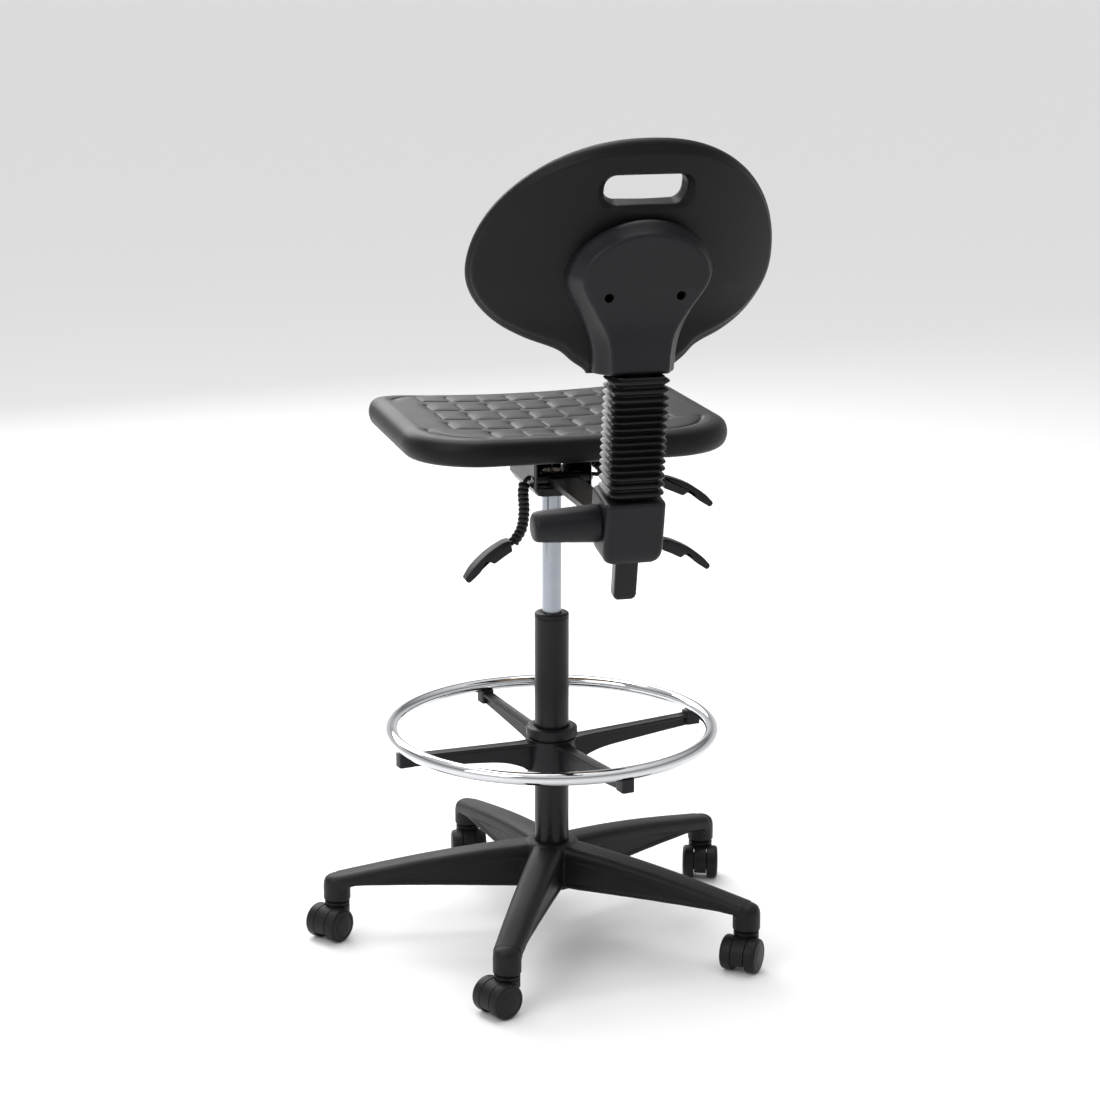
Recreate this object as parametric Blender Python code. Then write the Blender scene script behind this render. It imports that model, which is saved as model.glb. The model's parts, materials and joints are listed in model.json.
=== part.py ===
"""Drafting chair: a five-star base on casters, a gas column with a footring, a tilting seat and a back.

Metres, +Z up. The sitter faces -Y, and +X is the sitter's left. Each piece is modelled in its body's own
frame, an empty on the body's joint, so moving the empty moves the body. The frame's empty is placed last,
so that the origin is the middle of the whole object's footprint, at floor level.
"""

import math

import bmesh
import bpy
from mathutils import Euler, Matrix, Vector

GAP = 0.0003  # between pieces that touch
RUNNING_GAP = 0.0005  # between pieces that slide or turn in each other
EPS = 0.001  # how far a cutter stands out of what it cuts

# Base and column
ARM_COUNT = 5
FIRST_ARM_ANGLE = math.radians(-8.1)
SOCKET_CIRCLE_RADIUS = 0.3177
SOCKET_BOTTOM_Z = 0.0560
SOCKET_DIAMETER = 0.0395
ARM_END_TOP_Z = 0.0960
HUB_TOP_Z = 0.1360
HUB_BOTTOM_Z = 0.067
HUB_RADIUS = 0.040
COLUMN_DIAMETER = 0.050
COLUMN_WALL = 0.002
COLUMN_BOTTOM_Z = 0.073
COLUMN_TOP_Z = 0.4760
COLUMN_FLOOR = 0.004
BUSH_LENGTH = 0.090
BUSH_CAP = 0.007

# Casters
WHEEL_DIAMETER = 0.050
CASTER_WIDTH = 0.054
CASTER_TRAIL = 0.0175
HOOD_WIDTH = 0.019
HOOD_WEB = 0.007
WHEEL_RECESS = 0.0145  # radius of the hood's pocket round a wheel's inner part
AXLE_RADIUS = 0.003
STEM_RADIUS = 0.0055
STEM_BOTTOM_Z = 0.0437
STEM_TOP_Z = 0.0810
TRAIL_ANGLES = [math.radians(a) for a in (38, 26, 51, 72, 82)]
WHEEL_SIDES = 16

# Gas spring
CYLINDER_DIAMETER = 0.028
CYLINDER_WALL = 0.003
CYLINDER_BOTTOM_Z = 0.2550
CYLINDER_TOP_Z = 0.6930
GLAND_LENGTH = 0.020
ROD_RADIUS = 0.005
ROD_TOP_Z = 0.3930
PISTON_LENGTH = 0.015
PIN_RADIUS = 0.0025
PIN_LENGTH = 0.030

# Footring
RING_RADIUS = 0.2336
RING_TUBE_DIAMETER = 0.019
RING_Z = 0.3084
FOOTRING_HUB_DIAMETER = 0.071
FOOTRING_HUB_BOTTOM_Z = 0.2330
FOOTRING_HUB_TOP_Z = 0.294
COLLAR_DIAMETER = 0.075
COLLAR_HEIGHT = 0.018
SPOKE_COUNT = 4
FIRST_SPOKE_ANGLE = math.radians(11)
SPOKE_WIDTH = 0.019
SPOKE_WEB = 0.007
SPOKE_FLANGE = 0.005
SPOKE_OVERHANG = 0.010  # past the ring's centreline
SPOKE_RISE = 0.0075  # of a spoke's top from the hub to the ring
SPOKE_FOOT_LENGTH = 0.023

# Mechanism
MECH_CORNER = 0.012
MECH_WIDTH = 0.084
MECH_FRONT_Y = -0.090
MECH_REAR_Y = 0.072
MECH_BOTTOM_Z = 0.6690
MECH_TOP_Z = 0.7150
MECH_WALL = 0.003
SEAT_PIVOT = (-0.072, 0.705)  # y, z
BACK_PIVOT = (0.056, 0.692)
CROSS_PIN_RADIUS = 0.004
PLATE_WIDTH = 0.124
PLATE_THICKNESS = 0.004
PLATE_BOTTOM_Z = 0.7290

# Seat
SEAT_WIDTH = 0.465
SEAT_FRONT_Y = -0.258
SEAT_REAR_Y = 0.178
SEAT_CORNER = 0.107
SEAT_BOTTOM_Z = 0.7370
SEAT_THICKNESS = 0.042
SEAT_DISH = 0.010
SEAT_FRONT_DROP = 0.012
BOARD_SIZE = (0.300, 0.260, 0.012)

# Back support
BACK_LEAN = math.radians(11)
UPRIGHT_BOTTOM = (0.3587, 0.597)  # y, z of the middle of its lower end
UPRIGHT_WIDTH = 0.031
UPRIGHT_DEPTH = 0.018
UPRIGHT_TOP_DEPTH = 0.008
UPRIGHT_LENGTH = 0.295  # of the straight part
UPRIGHT_TOP_Z = 1.0380
LINK_WIDTH = 0.044
LINK_THICKNESS = 0.008
LINK_BAR_RADIUS = 0.009
ADJUSTER_WIDTH = 0.080
ADJUSTER_DEPTH = 0.074
ADJUSTER_HEIGHT = 0.086
ADJUSTER_FROM_END = 0.061  # along the upright, from its lower end to the cover
ADJUSTER_SHIFT = -0.003  # of the cover's middle behind the upright's
ADJUSTER_WALL = 0.003
BRACKET_WALL = 0.003
KNOB_LENGTH = 0.088
KNOB_ROOT_DIAMETER = 0.050
KNOB_TIP_DIAMETER = 0.040
KNOB_RISE = 0.005  # of its axis over the cover's middle, along the upright
KNOB_SHANK_RADIUS = 0.005
BELLOWS_WIDTH = 0.077
BELLOWS_DEPTH = 0.062
BELLOWS_WALL = 0.003
BELLOWS_RIDGE = 0.005
BELLOWS_RIDGES = 16
BELLOWS_TOP = (0.412, 0.898)

# Back
BACK_BOTTOM_Z = 0.8980
BACK_TOP_Z = 1.2000
BACK_HALF_WIDTH = 0.201
BACK_WIDEST_Z = 1.0330
BACK_NECK_HALF_WIDTH = 0.059
BACK_THICKNESS = 0.028
BACK_WRAP = 0.076  # how far the sides reach forward at the widest place
BACK_RECLINE = 0.374  # rise of Y for each metre of height
BACK_MIDDLE = (0.376, 0.958)  # y, z where the recline starts
SLOT_SIZE = (0.105, 0.040)
SLOT_Z = 1.1390
COVER_HALF_WIDTH = 0.089
COVER_FACE_HALF_WIDTH = 0.080
COVER_NECK_HALF_WIDTH = 0.050
COVER_FACE_NECK_HALF_WIDTH = 0.037
COVER_TOP_Z = 1.1010
COVER_BOTTOM_Z = 0.9020
COVER_WIDEST_Z = 1.026
COVER_HEIGHT = 0.040
SCREW_SPACING = 0.093
SCREW_Z = 1.0040
SCREW_HOLE_RADIUS = 0.006
SCREW_HEAD_RADIUS = 0.005
SCREW_SHANK_RADIUS = 0.0025
SCREW_REACH = 0.014  # into the back pad
COVER_SEAT_GAP = 0.003

# Levers
LEVER_ROD_RADIUS = 0.003
SLEEVE_DIAMETER = 0.016
SLEEVE_VALLEY = 0.013
SLEEVE_PITCH = 0.010
PADDLE_LENGTH = 0.074
PADDLE_WIDTH = 0.026
LEVER_PRESS_Z = 0.7050  # middle of the gas lever's rod over the release pin
LEVER_EXITS = ((-1, 0.0, LEVER_PRESS_Z), (-1, 0.035, 0.691), (1, 0.035, 0.690))  # side, y, z
# Each rod's path, as distances out of the mechanism's side, y and z
GAS_LEVER_ROUTE = (
    (-0.048, 0.0, LEVER_PRESS_Z),
    (0.006, 0.0, LEVER_PRESS_Z),
    (0.026, 0.014, 0.697),
    (0.033, 0.036, 0.669),
    (0.036, 0.040, 0.633),
    (0.052, 0.040, 0.605),
    (0.080, 0.040, 0.592),
)
BACK_LEVER_ROUTE = ((-0.014, 0.035, 0.691), (0.010, 0.035, 0.691), (0.058, 0.056, 0.688))
SEAT_LEVER_ROUTE = (
    (-0.016, 0.035, 0.690),
    (0.003, 0.035, 0.690),
    (0.009, 0.035, 0.673),
    (0.008, 0.035, 0.643),
    (0.012, 0.035, 0.617),
)
GAS_GRIP = ((-0.151, 0.040, 0.585), math.radians(3))  # root of the paddle, and its drop
BACK_GRIP = ((-0.146, 0.060, 0.680), math.radians(1))
SEAT_GRIP = ((0.071, 0.035, 0.596), math.radians(11))
SLEEVE_FROM = 2  # the point of the route where a sleeve starts
PADDLE_TOP = ((0, 0.0075), (0.012, 0.0065), (0.038, -0.0035), (0.060, -0.0175))
PADDLE_TIP = ((0.003, -0.028), (0, -0.032), (0.005, -0.0335))  # back from the end, and up
PADDLE_UNDER = ((0.052, -0.023), (0.044, -0.0155), (0.038, -0.0125), (0.034, -0.0135))
PLATE_EAR = 0.0035  # from the mechanism's side to the outside of the seat plate's ear
LEVER_SIDES = 8
LEVER_STEPS = 2  # of a rod's path between two of its points
SLEEVE_SIDES = 8
SLEEVE_LINING_STEP = 2
SLEEVE_CLEARANCE = 0.0015
SLEEVE_SHORT = 2  # half pitches between the sleeve and the paddle


def material(name, colour, roughness, metallic=0.0):
    made = bpy.data.materials.new(name)
    made.use_nodes = True
    shader = made.node_tree.nodes["Principled BSDF"]
    shader.inputs["Base Color"].default_value = (*colour, 1)
    shader.inputs["Roughness"].default_value = roughness
    shader.inputs["Metallic"].default_value = metallic
    return made


def clear_scene():
    for obj in list(bpy.data.objects):
        bpy.data.objects.remove(obj, do_unlink=True)


class Body:
    """An empty on a joint. Its pieces' meshes are given in the chair's frame, and kept relative to it."""

    def __init__(self, name, parent=None, at=(0, 0, 0), turn=(0, 0, 0)):
        self.empty = bpy.data.objects.new(name, None)
        self.empty.empty_display_size = 0.03
        bpy.context.scene.collection.objects.link(self.empty)
        turned = Matrix.LocRotScale(Vector(at), Euler(turn), None)
        self.place = turned
        if parent:
            self.empty.parent = parent.empty
            turned = parent.place.inverted() @ turned
        self.empty.matrix_basis = turned

    def add(self, name, bm, finish=None, angle=math.radians(35)):
        """Makes an object of a closed bmesh. Without a finish it is a helper, left out of the object."""
        bmesh.ops.recalc_face_normals(bm, faces=bm.faces)
        mesh = bpy.data.meshes.new(name)
        bm.to_mesh(mesh)
        bm.free()
        mesh.transform(self.place.inverted())
        made = bpy.data.objects.new(name, mesh)
        bpy.context.scene.collection.objects.link(made)
        made.parent = self.empty
        if finish:
            mesh.materials.append(finish)
            mesh.shade_smooth()
            mesh.set_sharp_from_angle(angle=angle)
        else:
            made.hide_render = True
            made.display_type = "WIRE"
        return made

    def boolean(self, piece, bm, operation):
        tool = self.add(f"{piece.name}_{operation.lower()}_{len(piece.modifiers)}", bm)
        modifier = piece.modifiers.new(tool.name, "BOOLEAN")
        modifier.operation = operation
        modifier.solver = "EXACT"
        modifier.object = tool

    def cut(self, piece, *tools):
        for bm in tools:
            self.boolean(piece, bm, "DIFFERENCE")

    def join(self, piece, *tools):
        for bm in tools:
            self.boolean(piece, bm, "UNION")


# Shapes. Each returns a closed bmesh in the chair's frame.


def loft(rings, closed=False):
    """Skins a list of rings of points, with a face on each end, or joined end to end."""
    bm = bmesh.new()
    made = [[bm.verts.new(p) for p in ring] for ring in rings]
    pairs = list(zip(made, made[1:]))
    if closed:
        pairs.append((made[-1], made[0]))
    for low, high in pairs:
        for i in range(len(low)):
            j = (i + 1) % len(low)
            bm.faces.new((low[i], low[j], high[j], high[i]))
    if not closed:
        bm.faces.new(made[0])
        bm.faces.new(made[-1])
    return bm


def circle(radius, count, phase=0.0):
    steps = (phase + 2 * math.pi * i / count for i in range(count))
    return [(radius * math.cos(a), radius * math.sin(a)) for a in steps]


def along(axis):
    """The turn that takes +Z to an axis, and +Y upright where the axis is level."""
    z = Vector(axis).normalized()
    up = Vector((0, 0, 1)) if abs(z.z) < 0.9 else Vector((0, 1, 0))
    x = up.cross(z).normalized()
    return Matrix((x, z.cross(x), z)).transposed().to_4x4()


def turned(profile, count=24, at=(0, 0, 0), axis=(0, 0, 1), closed=False, phase=0.0):
    """A solid of revolution from (radius, height) points. A closed profile makes a ring."""
    rings = [[(x, y, h) for x, y in circle(r, count, phase)] for r, h in profile]
    bm = loft(rings, closed)
    bmesh.ops.transform(bm, matrix=Matrix.Translation(at) @ along(axis), verts=bm.verts)
    return bm


def rod(radius, start, end, count=12, phase=0.0):
    start, end = Vector(start), Vector(end)
    length = (end - start).length
    return turned([(radius, 0), (radius, length)], count, start, (end - start).normalized(), phase=phase)


def block(low, high, matrix=None):
    bm = bmesh.new()
    bmesh.ops.create_cube(bm, size=1)
    low, high = Vector(low), Vector(high)
    size = high - low
    place = Matrix.Translation((low + high) / 2) @ Matrix.Diagonal((*size, 1))
    bmesh.ops.transform(bm, matrix=place if matrix is None else matrix @ place, verts=bm.verts)
    return bm


def rounded(half_x, half_y, radius, steps=4):
    """A rounded rectangle's points, counter-clockwise from its +X side."""
    points = []
    for k, (sx, sy) in enumerate(((1, 1), (-1, 1), (-1, -1), (1, -1))):
        for i in range(steps + 1):
            a = math.pi / 2 * (k + i / steps)
            x = sx * (half_x - radius) + radius * math.cos(a)
            y = sy * (half_y - radius) + radius * math.sin(a)
            points.append((x, y))
    return points


def smooth(points, steps):
    """A smooth curve through points, with some steps between each two."""
    points = [Vector(p) for p in points]
    ends = [2 * points[0] - points[1]] + points + [2 * points[-1] - points[-2]]
    curve = []
    for a, b, c, d in zip(ends, ends[1:], ends[2:], ends[3:]):
        for i in range(steps):
            t = i / steps
            bend = (2 * a - 5 * b + 4 * c - d) * t**2 + (3 * b - a - 3 * c + d) * t**3
            curve.append((2 * b + (c - a) * t + bend) / 2)
    return curve + [points[-1]]


def frames(path):
    """A turn at each point of a path, carried along it without twist."""
    before = [path[0]] + path[:-2] + [path[-2]]
    after = path[1:] + [path[-1]]
    tangents = [(b - a).normalized() for a, b in zip(before, after)]
    turn = Vector((0, 0, 1)).rotation_difference(tangents[0])
    turns = [turn.to_matrix()]
    for a, b in zip(tangents, tangents[1:]):
        turn = a.rotation_difference(b) @ turn
        turns.append(turn.to_matrix())
    return turns


def tube_rings(path, radii, count):
    rings = []
    for p, turn, r in zip(path, frames(path), radii):
        rings.append([p + turn @ Vector((x, y, 0)) for x, y in circle(r, count)])
    return rings


def evenly(path, spacing):
    """Points at even distances along a path."""
    lengths = [0.0]
    for a, b in zip(path, path[1:]):
        lengths.append(lengths[-1] + (b - a).length)
    count = max(2, round(lengths[-1] / spacing))
    found, k = [], 0
    for i in range(count + 1):
        wanted = lengths[-1] * i / count
        while k < len(path) - 2 and lengths[k + 1] < wanted:
            k += 1
        share = (wanted - lengths[k]) / (lengths[k + 1] - lengths[k])
        found.append(path[k].lerp(path[k + 1], share))
    return found


def turn_about(angle):
    return Matrix.Rotation(angle, 4, "Z")


def polar(radius, angle, z=0.0):
    return Vector((radius * math.cos(angle), radius * math.sin(angle), z))


# Base


def arm_section(reach, half_width, top, bottom):
    """An arm's section at a distance from the column: a crowned top band over a slightly recessed side."""
    band = 0.010
    low = max(bottom, top - 0.9 * (top - bottom))
    crown = 0.006
    shape = [
        (0.55, top),
        (0.9, top - crown * 0.6),
        (1.0, top - crown * 1.4),
        (1.0, top - crown - band),
        (0.9, top - crown - band - 0.004),
        (0.88, low),
        (0.80, bottom),
    ]
    right = [(reach, -half_width * w, z) for w, z in shape]
    left = [(reach, half_width * w, z) for w, z in reversed(shape)]
    return right + left


def arm():
    """One arm along +X, from inside the hub to the socket's middle."""
    end = SOCKET_CIRCLE_RADIUS
    root = HUB_RADIUS * 0.6
    rings = []
    for share, width, arch in (
        (0.0, 0.0235, 0.0),
        (0.35, 0.0225, 0.45),
        (0.60, 0.0215, 0.78),
        (0.85, 0.0200, 1.0),
        (1.0, 0.0190, 1.0),
    ):
        reach = root + (end - root) * share
        top = HUB_TOP_Z + (ARM_END_TOP_Z - HUB_TOP_Z) * share - 0.001
        bottom = HUB_BOTTOM_Z + 0.003 + 0.010 * arch
        rings.append(arm_section(reach, width, top, bottom))
    return loft(rings)


def star_base(base, nylon):
    hub = base.add(
        "star_base",
        turned(
            [
                (HUB_RADIUS * 0.92, HUB_BOTTOM_Z),
                (HUB_RADIUS, HUB_BOTTOM_Z + 0.004),
                (HUB_RADIUS, HUB_TOP_Z - 0.008),
                (HUB_RADIUS * 0.93, HUB_TOP_Z),
            ],
            30,
        ),
        nylon,
    )
    socket = SOCKET_DIAMETER / 2
    for k in range(ARM_COUNT):
        angle = FIRST_ARM_ANGLE + 2 * math.pi * k / ARM_COUNT
        limb = arm()
        bmesh.ops.transform(limb, matrix=turn_about(angle), verts=limb.verts)
        centre = polar(SOCKET_CIRCLE_RADIUS, angle)
        cup = turned(
            [
                (socket - 0.001, SOCKET_BOTTOM_Z),
                (socket, SOCKET_BOTTOM_Z + 0.002),
                (socket, ARM_END_TOP_Z - 0.010),
                (socket * 0.88, ARM_END_TOP_Z - 0.004),
                (socket * 0.55, ARM_END_TOP_Z),
            ],
            20,
            centre,
        )
        base.join(hub, limb, cup)
        mouth = centre + Vector((0, 0, SOCKET_BOTTOM_Z - EPS))
        base.cut(hub, rod(STEM_RADIUS + GAP, mouth, centre + Vector((0, 0, STEM_TOP_Z + GAP))))
    tube = COLUMN_DIAMETER / 2 + GAP
    base.cut(
        hub,
        rod(tube, (0, 0, COLUMN_BOTTOM_Z - GAP), (0, 0, HUB_TOP_Z + EPS), 36),
        rod(tube * 0.8, (0, 0, HUB_BOTTOM_Z - EPS), (0, 0, COLUMN_BOTTOM_Z), 24),
    )


def column(base, steel, plastic):
    outer = COLUMN_DIAMETER / 2
    inner = outer - COLUMN_WALL
    floor = COLUMN_BOTTOM_Z + COLUMN_FLOOR
    hole = ROD_RADIUS + RUNNING_GAP
    base.add(
        "column_tube",
        turned(
            [
                (hole, COLUMN_BOTTOM_Z),
                (outer, COLUMN_BOTTOM_Z),
                (outer, COLUMN_TOP_Z),
                (inner, COLUMN_TOP_Z),
                (inner, floor),
                (hole, floor),
            ],
            36,
            closed=True,
        ),
        steel,
    )
    bore = CYLINDER_DIAMETER / 2 + RUNNING_GAP
    cap = COLUMN_TOP_Z + GAP
    base.add(
        "guide_bush",
        turned(
            [
                (bore, COLUMN_TOP_Z - BUSH_LENGTH),
                (inner - GAP, COLUMN_TOP_Z - BUSH_LENGTH),
                (inner - GAP, cap),
                (outer, cap),
                (outer, cap + BUSH_CAP * 0.6),
                (outer - 0.003, cap + BUSH_CAP),
                (bore, cap + BUSH_CAP),
            ],
            32,
            closed=True,
        ),
        plastic,
    )


def caster(k, base, nylon, steel, tread):
    """A twin-wheel caster: its stem stays in the arm, its hood swivels, and its wheels turn."""
    arm_angle = FIRST_ARM_ANGLE + 2 * math.pi * k / ARM_COUNT
    centre = polar(SOCKET_CIRCLE_RADIUS, arm_angle)
    trail = TRAIL_ANGLES[k]
    name = f"caster_{k + 1}"
    swivel = Body(f"{name}_swivel", base, centre, (0, 0, trail))
    wheel_radius = WHEEL_DIAMETER / 2
    hood_radius = wheel_radius - 0.0005
    half_hood = HOOD_WIDTH / 2
    hub_z = wheel_radius
    boss_top = SOCKET_BOTTOM_Z - 0.0015
    hub = centre + polar(CASTER_TRAIL, trail, hub_z)
    side = polar(1, trail + math.pi / 2)
    flat = 1 / math.cos(math.pi / WHEEL_SIDES)

    def local(x, y, z):
        return centre + polar(x, trail) + side * y + Vector((0, 0, z))

    def disc(radius, low, high, count=WHEEL_SIDES):
        return rod(radius, hub + side * low, hub + side * high, count, math.pi / count)

    hood = swivel.add(f"{name}_hood", disc(hood_radius, -half_hood, half_hood), nylon)
    boss = SOCKET_DIAMETER / 2 - 0.0018
    swivel.join(hood, rod(boss, local(0, 0, hub_z + 0.012), local(0, 0, boss_top), 20))
    web = HOOD_WEB / 2
    for way in (-1, 1):
        outer = (way * (half_hood - GAP / 2), way * (half_hood + 0.010))
        swivel.cut(hood, disc((wheel_radius * flat + RUNNING_GAP) * flat, *outer))
        swivel.cut(hood, disc(WHEEL_RECESS, way * web, way * (half_hood + EPS)))
    turn = Matrix.Translation(hub) @ turn_about(trail)
    cut_z = -0.012
    swivel.cut(
        hood,
        block((-0.04, -0.03, -0.04), (0.04, 0.03, cut_z), turn),
        disc(AXLE_RADIUS + GAP, -half_hood, half_hood, 12),
        rod(STEM_RADIUS + RUNNING_GAP, local(0, 0, STEM_BOTTOM_Z - GAP), local(0, 0, boss_top + EPS)),
    )
    base.add(
        f"{name}_stem",
        rod(STEM_RADIUS, local(0, 0, STEM_BOTTOM_Z), local(0, 0, STEM_TOP_Z)),
        steel,
    )
    reach = CASTER_WIDTH / 2 - 0.004
    swivel.add(f"{name}_axle", disc(AXLE_RADIUS, -reach, reach, 12), steel)
    drum = WHEEL_RECESS - 0.001
    inner = web + RUNNING_GAP
    step = half_hood + RUNNING_GAP
    face = CASTER_WIDTH / 2
    bore = AXLE_RADIUS + RUNNING_GAP
    for word, way in (("left", 1), ("right", -1)):
        spin = Body(f"{name}_{word}_spin", swivel, hub, (0, 0, trail))
        profile = [
            (bore, reach + 0.001),
            (bore, inner),
            (drum, inner),
            (drum, step),
            (wheel_radius * flat, step),
            (wheel_radius * flat, face - 0.003),
            (wheel_radius - 0.0025, face),
        ]
        wheel = turned(profile, WHEEL_SIDES, hub, side * way, phase=math.pi / WHEEL_SIDES)
        spin.add(f"{name}_wheel_{word}", wheel, tread)


# Gas spring and footring


def gas_spring(rod_body, lift, pin_body, steel, bright, dark):
    floor = COLUMN_BOTTOM_Z + COLUMN_FLOOR
    bore = CYLINDER_DIAMETER / 2 - CYLINDER_WALL
    rod_body.add(
        "piston_rod",
        turned(
            [
                (ROD_RADIUS - 0.001, COLUMN_BOTTOM_Z - 0.004),
                (ROD_RADIUS, COLUMN_BOTTOM_Z - 0.003),
                (ROD_RADIUS, ROD_TOP_Z - PISTON_LENGTH),
                (bore - RUNNING_GAP, ROD_TOP_Z - PISTON_LENGTH),
                (bore - RUNNING_GAP, ROD_TOP_Z),
            ],
            16,
        ),
        bright,
    )
    washer = ROD_RADIUS + GAP
    for name, low, height, radius in (
        ("thrust_bearing", floor + GAP, 0.006, 0.013),
        ("retaining_clip", floor + 0.006 + 2 * GAP, 0.002, 0.010),
    ):
        ring = [(washer, low), (radius, low), (radius, low + height), (washer, low + height)]
        rod_body.add(name, turned(ring, 20, closed=True), steel)
    outer = CYLINDER_DIAMETER / 2
    gland = ROD_RADIUS + RUNNING_GAP
    pin_hole = PIN_RADIUS + RUNNING_GAP
    top = CYLINDER_TOP_Z
    lift.add(
        "gas_cylinder",
        turned(
            [
                (gland, CYLINDER_BOTTOM_Z),
                (outer - 0.001, CYLINDER_BOTTOM_Z),
                (outer, CYLINDER_BOTTOM_Z + 0.001),
                (outer, top),
                (pin_hole, top),
                (pin_hole, top - 0.015),
                (bore, top - 0.015),
                (bore, CYLINDER_BOTTOM_Z + GLAND_LENGTH),
                (gland, CYLINDER_BOTTOM_Z + GLAND_LENGTH),
            ],
            32,
            closed=True,
        ),
        bright,
    )
    pin_top = LEVER_PRESS_Z - LEVER_ROD_RADIUS - 0.0006
    pin_body.add("release_pin", rod(PIN_RADIUS, (0, 0, pin_top - PIN_LENGTH), (0, 0, pin_top), 12), dark)


def spoke(angle):
    """A spoke along +X, a flange over a web, ending in a cradle under the ring."""
    half = SPOKE_WIDTH / 2
    web = SPOKE_WEB / 2
    crest = RING_Z - RING_TUBE_DIAMETER / 2 - GAP
    end = RING_RADIUS + SPOKE_OVERHANG
    rings = []
    start = FOOTRING_HUB_DIAMETER * 0.40
    foot_start = end - SPOKE_FOOT_LENGTH
    for x, deep, wide in (
        (start, 0.042, 0.013),
        (0.052, 0.036, half),
        (0.085, 0.027, half * 0.92),
        (0.150, 0.022, half * 0.88),
        (foot_start + 0.006, 0.0175, half * 0.85),
    ):
        top = crest - SPOKE_RISE * (foot_start - x) / (foot_start - start) - GAP
        z = top - SPOKE_FLANGE
        rings.append(
            [
                (x, -wide, top),
                (x, -wide, z),
                (x, -web, z - 0.002),
                (x, -web, top - deep),
                (x, web, top - deep),
                (x, web, z - 0.002),
                (x, wide, z),
                (x, wide, top),
            ]
        )
    limb = loft(rings)
    foot = block((foot_start, -half, crest - 0.016), (end, half, crest + 0.0035))
    bmesh.ops.bevel(
        foot,
        geom=[e for e in foot.edges if abs(e.verts[0].co.z - e.verts[1].co.z) > 0.01],
        offset=0.004,
        segments=2,
        affect="EDGES",
    )
    for bm in (limb, foot):
        bmesh.ops.transform(bm, matrix=turn_about(angle), verts=bm.verts)
    return limb, foot


def footring(ring_body, collar_body, chrome, plastic):
    outer = FOOTRING_HUB_DIAMETER / 2
    bore = COLUMN_DIAMETER / 2 + RUNNING_GAP
    low, high = FOOTRING_HUB_BOTTOM_Z, FOOTRING_HUB_TOP_Z
    hub = ring_body.add(
        "footring_hub",
        turned(
            [(outer - 0.001, low), (outer, low + 0.002), (outer, high - 0.002), (outer - 0.002, high)],
            24,
        ),
        plastic,
    )
    groove = RING_TUBE_DIAMETER / 2 + 2 * GAP
    for k in range(SPOKE_COUNT):
        angle = FIRST_SPOKE_ANGLE + 2 * math.pi * k / SPOKE_COUNT
        ring_body.join(hub, *spoke(angle))
        middle = polar(RING_RADIUS, angle, RING_Z)
        tangent = polar(SPOKE_WIDTH, angle + math.pi / 2)
        ring_body.cut(hub, rod(groove, middle - tangent, middle + tangent, 20))
    ring_body.cut(hub, rod(bore, (0, 0, low - EPS), (0, 0, high + EPS), 36))
    segments, sides = 60, 8
    tube = RING_TUBE_DIAMETER / 2
    rings = [
        [polar(RING_RADIUS + x, 2 * math.pi * i / segments, RING_Z + z) for x, z in circle(tube, sides)]
        for i in range(segments)
    ]
    ring_body.add("footring_ring", loft(rings, closed=True), chrome)
    radius = COLLAR_DIAMETER / 2
    base = high + GAP
    top = base + COLLAR_HEIGHT
    collar_body.add(
        "footring_collar",
        turned(
            [
                (bore, base),
                (outer - 0.004, base),
                (outer - 0.004, base + 0.003),
                (radius, base + 0.004),
                (radius, top - 0.003),
                (radius - 0.003, top),
                (bore, top),
            ],
            28,
            closed=True,
        ),
        plastic,
    )


# Mechanism and levers


def mechanism(lift, steel, bright):
    half = MECH_WIDTH / 2
    wall = MECH_WALL
    bottom = MECH_BOTTOM_Z
    centre = (MECH_FRONT_Y + MECH_REAR_Y) / 2
    shape = rounded(half, (MECH_REAR_Y - MECH_FRONT_Y) / 2, MECH_CORNER, 3)
    outline = [(x, y + centre) for x, y in shape]
    low = [(x * 0.86, centre + (y - centre) * 0.92, bottom) for x, y in outline]
    mid = [(x, y, bottom + 0.010) for x, y in outline]
    high = [(x, y, MECH_TOP_Z) for x, y in outline]
    pan = lift.add("mechanism_housing", loft([low, mid, high]), steel)
    inner = half - wall
    socket = CYLINDER_DIAMETER / 2
    lift.cut(
        pan,
        block((-inner, MECH_FRONT_Y + wall, bottom + 0.012), (inner, MECH_REAR_Y + EPS, MECH_TOP_Z + EPS)),
    )
    lift.join(pan, rod(socket + 0.004, (0, 0, bottom - 0.006), (0, 0, CYLINDER_TOP_Z - 0.004), 24))
    lift.cut(pan, rod(socket + GAP, (0, 0, bottom - 0.006 - EPS), (0, 0, CYLINDER_TOP_Z + EPS), 32))
    wide = half + 0.02
    for y, z in (SEAT_PIVOT, BACK_PIVOT):
        lift.cut(pan, rod(CROSS_PIN_RADIUS + GAP, (-wide, y, z), (wide, y, z)))
    for side, y, z in LEVER_EXITS:
        hole = LEVER_ROD_RADIUS + 0.0015
        lift.cut(pan, rod(hole, (side * (inner - 0.004), y, z), (side * wide, y, z)))
    through_ears = half + PLATE_EAR + 0.003
    through_walls = half + 0.002
    for name, (y, z), far in (
        ("seat_pivot_pin", SEAT_PIVOT, through_ears),
        ("back_pivot_pin", BACK_PIVOT, through_walls),
    ):
        lift.add(name, rod(CROSS_PIN_RADIUS, (-far, y, z), (far, y, z)), bright)


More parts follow.
